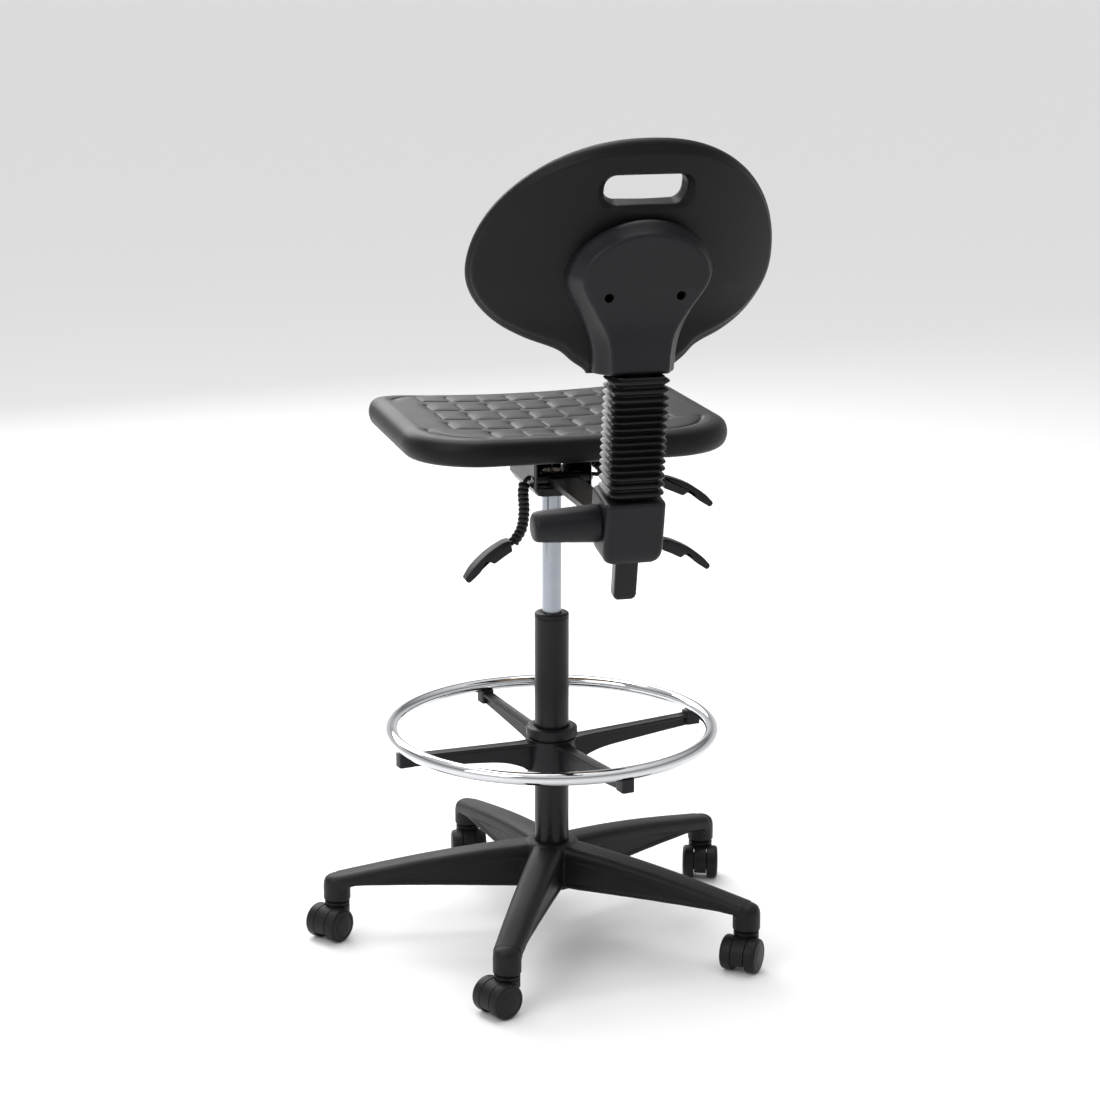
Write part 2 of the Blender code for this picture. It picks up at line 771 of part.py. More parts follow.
def seat_plate(seat, steel):
    half = MECH_WIDTH / 2
    base = PLATE_BOTTOM_Z
    y, z = SEAT_PIVOT
    plate = seat.add(
        "seat_plate",
        block((-PLATE_WIDTH / 2, -0.105, base), (PLATE_WIDTH / 2, 0.085, base + PLATE_THICKNESS)),
        steel,
    )
    for side in (-1, 1):
        near, far = sorted((side * (half + RUNNING_GAP), side * (half + PLATE_EAR)))
        seat.join(plate, block((near, y - 0.014, z - 0.010), (far, y + 0.018, base + 0.001)))
    hole = CROSS_PIN_RADIUS + RUNNING_GAP
    seat.cut(plate, rod(hole, (-half - 0.02, y, z), (half + 0.02, y, z)))


def lever(hinge, name, route, grip_root, heading, steel, plastic, rubber):
    """A bent rod with a paddle on its end, and a corrugated sleeve on the rod from one of its points on."""
    root = Vector(grip_root)
    side = math.copysign(1, root.x)
    out, up = paddle_axes(heading, side)
    path = smooth([*route, root - out * 0.004], LEVER_STEPS)
    end = root + out * 0.018 - up * 0.002
    turns = tube_rings(path + [end], [LEVER_ROD_RADIUS] * (len(path) + 1), LEVER_SIDES)
    hinge.add(f"{name}_rod", loft(turns), steel)
    if rubber:
        covered = evenly(path[SLEEVE_FROM * LEVER_STEPS :], SLEEVE_PITCH / 2)[:-SLEEVE_SHORT]
        radii = [(SLEEVE_VALLEY if i % 2 else SLEEVE_DIAMETER) / 2 for i in range(len(covered))]
        bore = LEVER_ROD_RADIUS + SLEEVE_CLEARANCE
        inner = tube_rings(covered, [bore] * len(covered), SLEEVE_SIDES)
        lining = inner[:-1:SLEEVE_LINING_STEP] + inner[-1:]
        rings = tube_rings(covered, radii, SLEEVE_SIDES) + lining[::-1]
        hinge.add(f"{name}_sleeve", loft(rings, closed=True), rubber)
    grip = hinge.add(f"{name}_paddle", paddle(root, out, up), plastic)
    hole = LEVER_ROD_RADIUS / math.cos(math.pi / LEVER_SIDES) + 2 * GAP
    heading_in = (end - path[-1]).normalized()
    hinge.cut(grip, rod(hole, path[-1] - heading_in * 0.002, end + heading_in * GAP, LEVER_SIDES))


def paddle_axes(heading, side):
    """A paddle's direction, away from the chair and down by its heading, and its upward direction."""
    out = Vector((side * math.cos(heading), 0, -math.sin(heading)))
    return out, Vector((side * math.sin(heading), 0, math.cos(heading)))


def paddle(root, out, up):
    """A grip whose block takes the rod, with a notch before its thin curved blade."""
    length = PADDLE_LENGTH
    top = smooth([Vector((p, q, 0)) for p, q in PADDLE_TOP], 2)
    tip = [Vector((length - p, q, 0)) for p, q in PADDLE_TIP]
    under = [Vector((p, q, 0)) for p, q in PADDLE_UNDER]
    end = [Vector((0.0295, -0.0190, 0)), Vector((0.025, -0.0180, 0)), Vector((0, -0.0080, 0))]
    outline = top + tip + under + end
    half = PADDLE_WIDTH / 2
    middle = sum(outline, Vector()) / len(outline)
    rings = []
    for y, inset in ((-half, 0.0018), (-half + 0.002, 0.0), (half - 0.002, 0.0), (half, 0.0018)):
        ring = []
        for p in outline:
            pull = (middle - p).normalized() * inset
            q = p + pull
            ring.append(root + out * q.x + up * q.y + Vector((0, y, 0)))
        rings.append(ring)
    return loft(rings)


# Seat


def seat_ring(inset, height):
    """The seat's outline, drawn in by an inset. `height` gives z at each point."""
    half_x = SEAT_WIDTH / 2 - inset
    half_y = (SEAT_REAR_Y - SEAT_FRONT_Y) / 2 - inset
    middle = (SEAT_REAR_Y + SEAT_FRONT_Y) / 2
    points = rounded(half_x, half_y, max(SEAT_CORNER - inset, 0.02), 6)
    return [(x, middle + y, height(x, middle + y)) for x, y in points]


def seat_top(x, y):
    """The seat's upper surface: dished between its sides, and falling at the front."""
    across = min(1.0, abs(x) / (SEAT_WIDTH / 2))
    ahead = max(0.0, (SEAT_FRONT_Y + 0.110 - y) / 0.110)
    rear = max(0.0, (y - SEAT_REAR_Y + 0.080) / 0.080)
    dish = SEAT_DISH * (1 - across**2) * (1 - rear**2)
    return SEAT_BOTTOM_Z + SEAT_THICKNESS - dish - SEAT_FRONT_DROP * ahead**2


def seat_cushion(seat, foam, wood):
    low = SEAT_BOTTOM_Z

    def below(share):
        return lambda x, y: low + (seat_top(x, y) - low) * share

    rings = [
        seat_ring(0.090, lambda x, y: low),
        seat_ring(0.018, lambda x, y: low),
        seat_ring(0.005, below(0.14)),
        seat_ring(0.0, below(0.40)),
        seat_ring(0.001, below(0.70)),
        seat_ring(0.009, below(0.95)),
        seat_ring(0.024, seat_top),
        seat_ring(0.070, seat_top),
        seat_ring(0.125, seat_top),
    ]
    pad = seat.add("seat_pad", loft(rings), foam, math.radians(50))
    wide, deep, thick = BOARD_SIZE
    middle = (SEAT_REAR_Y + SEAT_FRONT_Y) / 2 + 0.02
    base = PLATE_BOTTOM_Z + PLATE_THICKNESS + GAP
    room = 0.001
    seat.cut(
        pad,
        block(
            (-wide / 2 - room, middle - deep / 2 - room, low - EPS),
            (wide / 2 + room, middle + deep / 2 + room, base + thick + GAP),
        ),
    )
    seat.add(
        "seat_board",
        block((-wide / 2, middle - deep / 2, base), (wide / 2, middle + deep / 2, base + thick)),
        wood,
    )


# Back support. Everything in it is set out along the upright: `out` is behind it and `up` runs along it.

OUT = Vector((0, math.cos(BACK_LEAN), -math.sin(BACK_LEAN)))
UP = Vector((0, math.sin(BACK_LEAN), math.cos(BACK_LEAN)))
UPRIGHT_START = Vector((0, *UPRIGHT_BOTTOM))


def lean_frame(distance, shift=0.0):
    """The frame at a distance along the upright: X across, Y out behind, Z up along it."""
    place = Matrix((Vector((1, 0, 0)), OUT, UP)).transposed().to_4x4()
    return Matrix.Translation(UPRIGHT_START + UP * distance + OUT * shift) @ place


def section(frame, half_x, half_y, radius, z=0.0, steps=3, y=0.0):
    return [frame @ Vector((px, py + y, z)) for px, py in rounded(half_x, half_y, radius, steps)]


def upright(back, steel):
    half = UPRIGHT_WIDTH / 2
    deep = UPRIGHT_DEPTH / 2
    lower = lean_frame(0)
    rings = [
        section(lower, half - 0.006, deep - 0.003, 0.003),
        section(lower, half - 0.002, deep - 0.001, 0.003, 0.003),
        section(lower, half, deep, 0.003, 0.008),
        section(lower, half, deep, 0.003, UPRIGHT_LENGTH - 0.012),
        section(lower, half, UPRIGHT_TOP_DEPTH / 2, 0.003, UPRIGHT_LENGTH),
    ]
    bend = lower @ Vector((0, 0, UPRIGHT_LENGTH))
    lean = Matrix.Rotation(-math.radians(4), 4, "X")
    top = Matrix.Translation(bend) @ lean
    rise = (UPRIGHT_TOP_Z - bend.z) / math.cos(math.radians(4))
    rings.append(section(top, half, UPRIGHT_TOP_DEPTH / 2, 0.003, 0.012))
    rings.append(section(top, half, UPRIGHT_TOP_DEPTH / 2, 0.003, rise))
    back.add("upright", loft(rings), steel)


def link(arm_body, steel, plastic):
    """The arm from the mechanism, the clamp bracket round the upright, and the cover round both."""
    y, z = BACK_PIVOT
    half = MECH_WIDTH / 2 - MECH_WALL - RUNNING_GAP * 2
    middle = ADJUSTER_FROM_END + ADJUSTER_HEIGHT / 2
    slide_x = UPRIGHT_WIDTH / 2 + RUNNING_GAP
    slide_y = UPRIGHT_DEPTH / 2 + RUNNING_GAP
    frame = lean_frame(middle)
    outer_y = slide_y + BRACKET_WALL
    reach = ADJUSTER_HEIGHT / 2 - ADJUSTER_WALL - 0.004
    drop = reach - 0.008
    bracket = arm_body.add(
        "clamp_bracket",
        loft(
            [
                section(frame, slide_x + BRACKET_WALL, outer_y, 0.002, -drop, 1),
                section(frame, slide_x + BRACKET_WALL, outer_y, 0.002, reach, 1),
            ]
        ),
        steel,
    )
    arm_body.cut(
        bracket,
        loft([section(frame, slide_x, slide_y, 0.002, h, 2) for h in (-drop - EPS, reach + EPS)]),
    )
    knob_hole = KNOB_SHANK_RADIUS + RUNNING_GAP
    knob_at = frame @ Vector((0, 0, KNOB_RISE))
    arm_body.cut(bracket, rod(knob_hole, knob_at, knob_at + Vector((0.06, 0, 0))))
    end = frame @ Vector((0, -outer_y - GAP, 0))
    tongue = LINK_THICKNESS / 2
    reach_y = end.y - (end.z - z + tongue) * math.tan(BACK_LEAN) - GAP
    bar = arm_body.add("link_arm", rod(LINK_BAR_RADIUS, (-half, y, z), (half, y, z), 16), steel)
    arm_body.join(bar, block((-LINK_WIDTH / 2, y, z - tongue), (LINK_WIDTH / 2, reach_y, z + tongue)))
    arm_body.cut(bar, rod(CROSS_PIN_RADIUS + RUNNING_GAP, (-half - EPS, y, z), (half + EPS, y, z), 16))

    cover_x = ADJUSTER_WIDTH / 2
    cover_y = ADJUSTER_DEPTH / 2
    rise = ADJUSTER_HEIGHT / 2
    shift = ADJUSTER_SHIFT
    rings = [
        section(frame, cover_x - 0.010, cover_y - 0.014, 0.010, -rise, 3, shift + 0.006),
        section(frame, cover_x - 0.003, cover_y - 0.007, 0.010, -rise + 0.006, 3, shift + 0.005),
        section(frame, cover_x, cover_y - 0.002, 0.009, -rise + 0.016, 3, shift + 0.002),
        section(frame, cover_x, cover_y, 0.008, -rise + 0.034, 3, shift),
        section(frame, cover_x, cover_y, 0.008, rise - 0.006, 3, shift),
        section(frame, cover_x - 0.004, cover_y - 0.004, 0.006, rise, 3, shift),
    ]
    cover = arm_body.add("adjuster_cover", loft(rings), plastic)
    wall = ADJUSTER_WALL
    inner = [
        section(frame, cover_x - wall, cover_y - wall - 0.006, 0.004, -rise + 0.010, 2, shift + 0.003),
        section(frame, cover_x - wall, cover_y - wall, 0.004, -rise + 0.036, 2, shift),
        section(frame, cover_x - wall, cover_y - wall, 0.004, rise - wall, 2, shift),
    ]
    arm_body.cut(cover, loft(inner))
    slot = RUNNING_GAP * 2
    half_x, half_y = UPRIGHT_WIDTH / 2 + slot, UPRIGHT_DEPTH / 2 + slot
    ends = [section(frame, half_x, half_y, 0.003, h, 2) for h in (-rise - 0.01, rise + 0.01)]
    arm_body.cut(cover, loft(ends))
    front = frame @ Vector((0, -cover_y + shift, 0))
    arm_body.cut(cover, block((-0.024, front.y - 0.02, z - 0.006), (0.024, front.y + 0.016, z + 0.006)))
    arm_body.cut(cover, rod(knob_hole + 0.001, knob_at, knob_at + Vector((0.06, 0, 0))))
    return knob_at


def clamp_knob(knob_body, at, plastic):
    root = ADJUSTER_WIDTH / 2 + 2 * GAP
    shank_start = UPRIGHT_WIDTH / 2 + RUNNING_GAP
    tip = root + KNOB_LENGTH
    big, small = KNOB_ROOT_DIAMETER / 2, KNOB_TIP_DIAMETER / 2
    profile = [
        (KNOB_SHANK_RADIUS, shank_start),
        (KNOB_SHANK_RADIUS, root),
        (big - 0.003, root),
        (big, root + 0.003),
        (small + 0.001, tip - 0.014),
        (small - 0.002, tip - 0.007),
        (small - 0.009, tip - 0.002),
        (small * 0.25, tip),
    ]
    knob_body.add("clamp_knob", turned(profile, 28, at, (1, 0, 0)), plastic)


def bellows(back, rubber):
    """A ribbed sleeve from the adjuster cover to the back cover, open at both ends."""
    start = lean_frame(ADJUSTER_FROM_END + ADJUSTER_HEIGHT) @ Vector((0, 0, GAP))
    low = Vector((0, start.y + 0.004, start.z + 0.008))
    high = Vector((0, *BELLOWS_TOP))
    axis = (high - low).normalized()
    place = Matrix((Vector((1, 0, 0)), axis.cross(Vector((1, 0, 0))), axis)).transposed().to_4x4()
    place = Matrix.Translation(low) @ place
    length = (high - low).length
    half_x, half_y = BELLOWS_WIDTH / 2, BELLOWS_DEPTH / 2
    rings = []
    for i in range(2 * BELLOWS_RIDGES + 1):
        pull = 0 if i % 2 else BELLOWS_RIDGE
        height = length * i / (2 * BELLOWS_RIDGES)
        rings.append(section(place, half_x - pull, half_y - pull, 0.012, height, 3))
    inset = BELLOWS_RIDGE + BELLOWS_WALL
    for height in (length, 0):
        rings.append(section(place, half_x - inset, half_y - inset, 0.008, height, 3))
    back.add("bellows", loft(rings, closed=True), rubber)


# Back


def back_line(z):
    """Y of the back's middle surface on its centreline."""
    y, start = BACK_MIDDLE
    ease = 0.030
    if z > start + ease:
        return y + BACK_RECLINE * (z - start)
    if z < start - ease:
        return y + BACK_RECLINE * ease / 4 - 0.004 * min(1, (start - ease - z) / 0.03)
    t = z - start + ease
    return y + BACK_RECLINE * (ease / 4 + t * t / (4 * ease) - t / 4)


def back_surface(x, z, offset=0.0):
    """A point of the back's middle surface, moved behind it by an offset."""
    across = x / BACK_HALF_WIDTH
    y = back_line(z) - BACK_WRAP * across**2
    slope = BACK_RECLINE * min(1, max(0, (z - 0.95) / 0.03))
    normal = Vector((2 * BACK_WRAP * across / BACK_HALF_WIDTH, 1, -slope))
    return Vector((x, y, z)) + normal.normalized() * offset


def screw_place(x):
    """The point of the back's rear surface that a cover screw goes through."""
    return Vector((x, back_surface(x, SCREW_Z, BACK_THICKNESS / 2).y, SCREW_Z))


def back_outline():
    """The back's outline in x and z: up its right side from the neck to the top, and down its left."""
    neck, low, wide, top = BACK_NECK_HALF_WIDTH, BACK_BOTTOM_Z, BACK_HALF_WIDTH, BACK_TOP_Z
    middle = BACK_WIDEST_Z
    right = [
        (neck * 0.93, low),
        (neck, low + 0.006),
        (neck * 1.24, low + 0.016),
        (neck * 1.55, low + 0.031),
        (wide * 0.64, low + 0.045),
    ]
    sweep = math.radians(50)
    lower = (middle - (low + 0.045)) / math.sin(sweep)
    for i in range(1, 6):
        a = sweep * (i / 5 - 1)
        right.append((wide * math.cos(a) ** 0.95, middle + lower * math.sin(a)))
    upper = top - middle
    for i in range(1, 11):
        a = math.radians(90 * i / 11)
        right.append((wide * math.cos(a) ** 0.92, middle + upper * math.sin(a) ** 1.02))
    return right + [(0, top)] + [(-x, z) for x, z in reversed(right)]


def back_shell(back, foam):
    outline = [Vector((x, 0, z)) for x, z in back_outline()]
    centre = Vector((0, 0, BACK_WIDEST_Z))
    half = BACK_THICKNESS / 2

    def ring(scale, inset, offset):
        points = []
        for p in outline:
            q = centre + (p - centre) * scale
            q -= (q - centre).normalized() * inset
            points.append(back_surface(q.x, q.z, offset))
        return points

    rings = [
        ring(0.30, 0, -half),
        ring(0.65, 0, -half),
        ring(1.0, 0.012, -half),
        ring(1.0, 0.002, -half * 0.6),
        ring(1.0, 0.0, 0),
        ring(1.0, 0.007, half * 0.6),
        ring(1.0, 0.015, half),
        ring(0.78, 0, half),
        ring(0.56, 0, half),
        ring(0.36, 0, half),
        ring(0.16, 0, half),
    ]
    pad = back.add("back_pad", loft(rings), foam, math.radians(50))
    wide, tall = SLOT_SIZE
    middle = back_surface(0, SLOT_Z)
    lean = math.atan(BACK_RECLINE)
    place = Matrix.Translation(middle) @ Matrix.Rotation(math.pi / 2 - lean, 4, "X")
    shape = rounded(wide / 2, tall / 2, tall / 2 * 0.85, 5)
    ends = [[place @ Vector((x, y, h)) for x, y in shape] for h in (-BACK_THICKNESS, BACK_THICKNESS)]
    back.cut(pad, loft(ends))
    for x in (-SCREW_SPACING / 2, SCREW_SPACING / 2):
        at = screw_place(x)
        reach = Vector((0, SCREW_REACH + 2 * GAP, 0))
        back.cut(pad, rod(SCREW_SHANK_RADIUS + GAP, at - reach, at + Vector((0, BACK_THICKNESS, 0)), 12))
    return pad


def cover_outline(wide, neck, top, bottom):
    """A dome over a waist, in x and z."""
    middle = COVER_WIDEST_Z
    right = [
        (neck, bottom),
        (neck * 1.03, bottom + 0.025),
        (neck * 1.10 + 0.002, bottom + 0.050),
        (neck + (wide - neck) * 0.50, bottom + 0.080),
        (neck + (wide - neck) * 0.86, bottom + 0.106),
    ]
    for i in range(9):
        a = math.radians(90 * i / 9)
        right.append((wide * math.cos(a), middle + (top - middle) * math.sin(a)))
    return right + [(0, top)] + [(-x, z) for x, z in reversed(right)]


def cover_and_screws(back, plastic, dark):
    base = cover_outline(COVER_HALF_WIDTH, COVER_NECK_HALF_WIDTH, COVER_TOP_Z, COVER_BOTTOM_Z)
    face_top = COVER_TOP_Z - 0.014
    face = cover_outline(COVER_FACE_HALF_WIDTH, COVER_FACE_NECK_HALF_WIDTH, face_top, COVER_BOTTOM_Z)
    centre = Vector((0, 0, COVER_WIDEST_Z - 0.02))
    seat = BACK_THICKNESS / 2 + COVER_SEAT_GAP

    def ring(points, height, scale=1.0):
        made = []
        for x, z in points:
            q = centre + (Vector((x, 0, z)) - centre) * scale
            lifted = back_surface(q.x, q.z, seat)
            if height:
                front = back_surface(0, q.z, seat).y - BACK_WRAP * (0.35 * q.x / BACK_HALF_WIDTH) ** 2
                lifted.y = front + height
                lifted.z = q.z
            made.append(lifted)
        return made

    tall = COVER_HEIGHT
    rings = [
        ring(base, 0, 0.4),
        ring(base, 0, 0.75),
        ring(base, 0),
        ring([(x * 0.995, z) for x, z in base], tall * 0.25),
        ring(face, tall * 0.86),
        ring(face, tall, 0.95),
        ring(face, tall, 0.45),
    ]
    cover = back.add("back_cover", loft(rings), plastic, math.radians(50))
    lower = lean_frame(0)
    bend = lower @ Vector((0, 0, UPRIGHT_LENGTH))
    lean = math.radians(4)
    top = Matrix.Translation(bend) @ Matrix.Rotation(-lean, 4, "X")
    rise = (UPRIGHT_TOP_Z - bend.z) / math.cos(lean)
    half = UPRIGHT_WIDTH / 2 + RUNNING_GAP
    deep = UPRIGHT_TOP_DEPTH / 2 + RUNNING_GAP
    pocket = [section(top, half, deep, 0.003, h) for h in (-0.03, rise + RUNNING_GAP)]
    back.cut(cover, loft(pocket))
    for word, x in (("left", SCREW_SPACING / 2), ("right", -SCREW_SPACING / 2)):
        at = screw_place(x)
        ahead = Vector((0, 1, 0))
        floor = at + ahead * tall * 0.35
        back.cut(cover, rod(SCREW_HOLE_RADIUS, floor, at + ahead * tall * 1.6, 16))
        back.cut(cover, rod(SCREW_SHANK_RADIUS + GAP, at - ahead * 0.01, floor + ahead * EPS, 12))
        start = floor + ahead * GAP
        reach = (start - at).y + SCREW_REACH
        screw = turned(
            [
                (SCREW_SHANK_RADIUS * 0.7, -reach),
                (SCREW_SHANK_RADIUS, -reach + 0.002),
                (SCREW_SHANK_RADIUS, 0),
                (SCREW_HEAD_RADIUS, 0),
                (SCREW_HEAD_RADIUS, 0.0025),
                (SCREW_HEAD_RADIUS * 0.7, 0.004),
            ],
            16,
            start,
            (0, 1, 0),
        )
        made = back.add(f"cover_screw_{word}", screw, dark)
        back.cut(made, rod(0.002, start + ahead * 0.002, start + ahead * 0.006, 6))


def settle(frame):
    """Moves the whole object so that the middle of its box's floor is the origin."""
    bpy.context.view_layer.update()
    graph = bpy.context.evaluated_depsgraph_get()
    low, high = [math.inf] * 3, [-math.inf] * 3
    for obj in bpy.data.objects:
        if obj.type != "MESH" or obj.hide_render:
            continue
        shape = obj.evaluated_get(graph)
        for v in shape.data.vertices:
            p = shape.matrix_world @ v.co
            low = [min(a, b) for a, b in zip(low, p)]
            high = [max(a, b) for a, b in zip(high, p)]
    frame.empty.location = (-(low[0] + high[0]) / 2, -(low[1] + high[1]) / 2, -low[2])
    bpy.context.view_layer.update()


def main():
    clear_scene()
    nylon = material("black_nylon", (0.018, 0.018, 0.020), 0.50)
    plastic = material("black_plastic", (0.016, 0.016, 0.018), 0.45)
    tread = material("caster_plastic", (0.022, 0.022, 0.024), 0.55)
    foam = material("polyurethane", (0.022, 0.022, 0.024), 0.60)
    rubber = material("rubber", (0.015, 0.015, 0.016), 0.55)
    coated = material("black_steel", (0.012, 0.012, 0.013), 0.35, 0.2)
    satin = material("satin_steel", (0.62, 0.64, 0.68), 0.28, 1.0)
    chrome = material("chrome", (0.80, 0.82, 0.84), 0.06, 1.0)
    zinc = material("zinc_steel", (0.50, 0.50, 0.50), 0.35, 1.0)
    wood = material("plywood", (0.36, 0.24, 0.13), 0.70)

    frame = Body("frame")
    base = Body("base", frame)
    star_base(base, nylon)
    column(base, coated, plastic)
    for k in range(ARM_COUNT):
        caster(k, base, nylon, zinc, tread)

    ring_body = Body("footring", base, (0, 0, FOOTRING_HUB_BOTTOM_Z))
    collar_body = Body("footring_lock", ring_body, (0, 0, FOOTRING_HUB_TOP_Z))
    footring(ring_body, collar_body, chrome, plastic)

    rod_body = Body("gas_rod", base, (0, 0, COLUMN_BOTTOM_Z))
    lift = Body("lift", rod_body, (0, 0, CYLINDER_BOTTOM_Z))
    pin_body = Body("release", lift, (0, 0, CYLINDER_TOP_Z))
    gas_spring(rod_body, lift, pin_body, zinc, satin, zinc)
    mechanism(lift, coated, zinc)

    seat = Body("seat", lift, (0, *SEAT_PIVOT))
    seat_plate(seat, coated)
    seat_cushion(seat, foam, wood)

    arm_body = Body("back_arm", lift, (0, *BACK_PIVOT))
    knob_at = link(arm_body, coated, plastic)
    knob_body = Body("knob", arm_body, knob_at, (0, math.pi / 2, 0))
    clamp_knob(knob_body, knob_at, plastic)
    back = Body("back", arm_body, UPRIGHT_START, (-BACK_LEAN, 0, 0))
    upright(back, coated)
    bellows(back, rubber)
    back_shell(back, foam)
    cover_and_screws(back, plastic, coated)

    levers(lift, coated, plastic, rubber)
    settle(frame)


def levers(lift, steel, plastic, rubber):
    """The gas and back-tilt levers on one side of the mechanism, and the seat-tilt lever on the other."""
    half = MECH_WIDTH / 2
    for name, (side, y, z), route, (root, heading), sleeved in (
        ("gas_lever", LEVER_EXITS[0], GAS_LEVER_ROUTE, GAS_GRIP, True),
        ("back_lever", LEVER_EXITS[1], BACK_LEVER_ROUTE, BACK_GRIP, False),
        ("seat_lever", LEVER_EXITS[2], SEAT_LEVER_ROUTE, SEAT_GRIP, True),
    ):
        hinge = Body(name, lift, (side * half, y, z))
        path = [(side * (half + out), py, pz) for out, py, pz in route]
        lever(hinge, name, path, root, heading, steel, plastic, rubber if sleeved else None)


main()
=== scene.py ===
"""The drafting chair's looks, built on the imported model. Metres, +Z up, the sitter faces -Y."""
import json
import math

import bmesh
import bpy
import numpy as np
from mathutils import Matrix, Vector


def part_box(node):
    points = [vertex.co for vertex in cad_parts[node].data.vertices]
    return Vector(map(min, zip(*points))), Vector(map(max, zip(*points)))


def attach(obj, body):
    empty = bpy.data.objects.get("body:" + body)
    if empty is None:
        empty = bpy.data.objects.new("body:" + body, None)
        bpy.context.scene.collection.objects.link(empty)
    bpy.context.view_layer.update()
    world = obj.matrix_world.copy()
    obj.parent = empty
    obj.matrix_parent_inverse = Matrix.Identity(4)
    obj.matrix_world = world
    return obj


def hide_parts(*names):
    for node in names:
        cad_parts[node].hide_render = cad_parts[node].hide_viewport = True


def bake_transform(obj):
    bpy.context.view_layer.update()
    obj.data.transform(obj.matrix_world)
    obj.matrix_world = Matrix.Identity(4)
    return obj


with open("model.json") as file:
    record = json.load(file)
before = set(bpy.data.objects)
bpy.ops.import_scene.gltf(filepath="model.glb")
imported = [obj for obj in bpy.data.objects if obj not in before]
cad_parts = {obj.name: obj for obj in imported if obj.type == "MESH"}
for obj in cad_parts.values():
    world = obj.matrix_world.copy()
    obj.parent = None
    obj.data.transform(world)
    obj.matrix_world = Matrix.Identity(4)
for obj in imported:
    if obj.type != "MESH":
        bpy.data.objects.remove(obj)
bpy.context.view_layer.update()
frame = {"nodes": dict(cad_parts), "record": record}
NODES = frame["nodes"]
JOINTS = {j["name"]: j for j in frame["record"]["behaviour"]["joints"]}
AXIS = Vector((*JOINTS["swivel"]["pos_m"][:2], 0))  # the column's axis on the floor
GAP = 0.0003  # between pieces that don't move on each other
RUN = 0.0005  # between pieces that do

# ---------------------------------------------------------------- shapes, in the column's frame


def loft(rings, closed=False, caps=True):
    """Skins rings of points, with a face on each end, or joined end to end."""
    count = len(rings[0])
    points = [tuple(p) for ring in rings for p in ring]
    faces = []
    spans = len(rings) if closed else len(rings) - 1
    for r in range(spans):
        low, high = r * count, (r + 1) % len(rings) * count
        for i in range(count):
            j = (i + 1) % count
            faces.append((low + i, low + j, high + j, high + i))
    if caps and not closed:
        faces.append(tuple(range(count)))
        faces.append(tuple(range(len(points) - count, len(points))))
    bm = bmesh.new()
    made = [bm.verts.new(p) for p in points]
    for face in faces:
        bm.faces.new([made[i] for i in face])
    return bm


def circle(radius, count, phase=0.0):
    steps = (phase + 2 * math.pi * i / count for i in range(count))
    return [(radius * math.cos(a), radius * math.sin(a)) for a in steps]


def along(axis):
    z = Vector(axis).normalized()
    up = Vector((0, 0, 1)) if abs(z.z) < 0.9 else Vector((0, 1, 0))
    x = up.cross(z).normalized()
    return Matrix((x, z.cross(x), z)).transposed().to_4x4()


def turned(profile, count=96, at=(0, 0, 0), axis=(0, 0, 1), closed=False):
    rings = [[(x, y, h) for x, y in circle(r, count)] for r, h in profile]
    bm = loft(rings, closed)
    bmesh.ops.transform(bm, matrix=Matrix.Translation(at) @ along(axis), verts=bm.verts)
    return bm


def rod(radius, start, end, count=32):
    start, end = Vector(start), Vector(end)
    length = (end - start).length
    return turned([(radius, 0), (radius, length)], count, start, (end - start).normalized())


def block(low, high, matrix=None):
    bm = bmesh.new()
    bmesh.ops.create_cube(bm, size=1)
    low, high = Vector(low), Vector(high)
    place = Matrix.Translation((low + high) / 2) @ Matrix.Diagonal((*(high - low), 1))
    bmesh.ops.transform(bm, matrix=place if matrix is None else matrix @ place, verts=bm.verts)
    return bm


def rounded(half_x, half_y, radius, steps=8):
    points = []
    for k, (sx, sy) in enumerate(((1, 1), (-1, 1), (-1, -1), (1, -1))):
        for i in range(steps + 1):
            a = math.pi / 2 * (k + i / steps)
            x, y = sx * (half_x - radius), sy * (half_y - radius)
            points.append((x + radius * math.cos(a), y + radius * math.sin(a)))
    return points


def spline(points, steps, closed=False):
    """A smooth curve through points of any dimension, with some steps between each two."""
    pts = [np.array(p, float) for p in points]
    if closed:
        ends = [pts[-1]] + pts + pts[:2]
    else:
        ends = [2 * pts[0] - pts[1]] + pts + [2 * pts[-1] - pts[-2]]
    curve = []
    for a, b, c, d in zip(ends, ends[1:], ends[2:], ends[3:]):
        for i in range(steps):
            t = i / steps
            square, cube = 2 * a - 5 * b + 4 * c - d, 3 * b - a - 3 * c + d
            curve.append(0.5 * (2 * b + (c - a) * t + square * t**2 + cube * t**3))
    if not closed:
        curve.append(pts[-1])
    return curve


def evenly(path, spacing, closed=False):
    """Points at even distances along a path."""
    pts = np.array([tuple(p) for p in path], float)
    if closed:
        pts = np.vstack([pts, pts[:1]])
    run = np.concatenate([[0], np.cumsum(np.linalg.norm(np.diff(pts, axis=0), axis=1))])
    count = max(2, round(run[-1] / spacing))
    at = np.linspace(0, run[-1], count + 1)
    if closed:
        at = at[:-1]
    return np.stack([np.interp(at, run, pts[:, k]) for k in range(pts.shape[1])], axis=1)


def frames(path):
    path = [Vector(p) for p in path]
    before = [path[0]] + path[:-2] + [path[-2]]
    tangents = [(b - a).normalized() for a, b in zip(before, path[1:] + [path[-1]])]
    turn = Vector((0, 0, 1)).rotation_difference(tangents[0])
    turns = [turn.to_matrix()]
    for a, b in zip(tangents, tangents[1:]):
        turn = a.rotation_difference(b) @ turn
        turns.append(turn.to_matrix())
    return turns


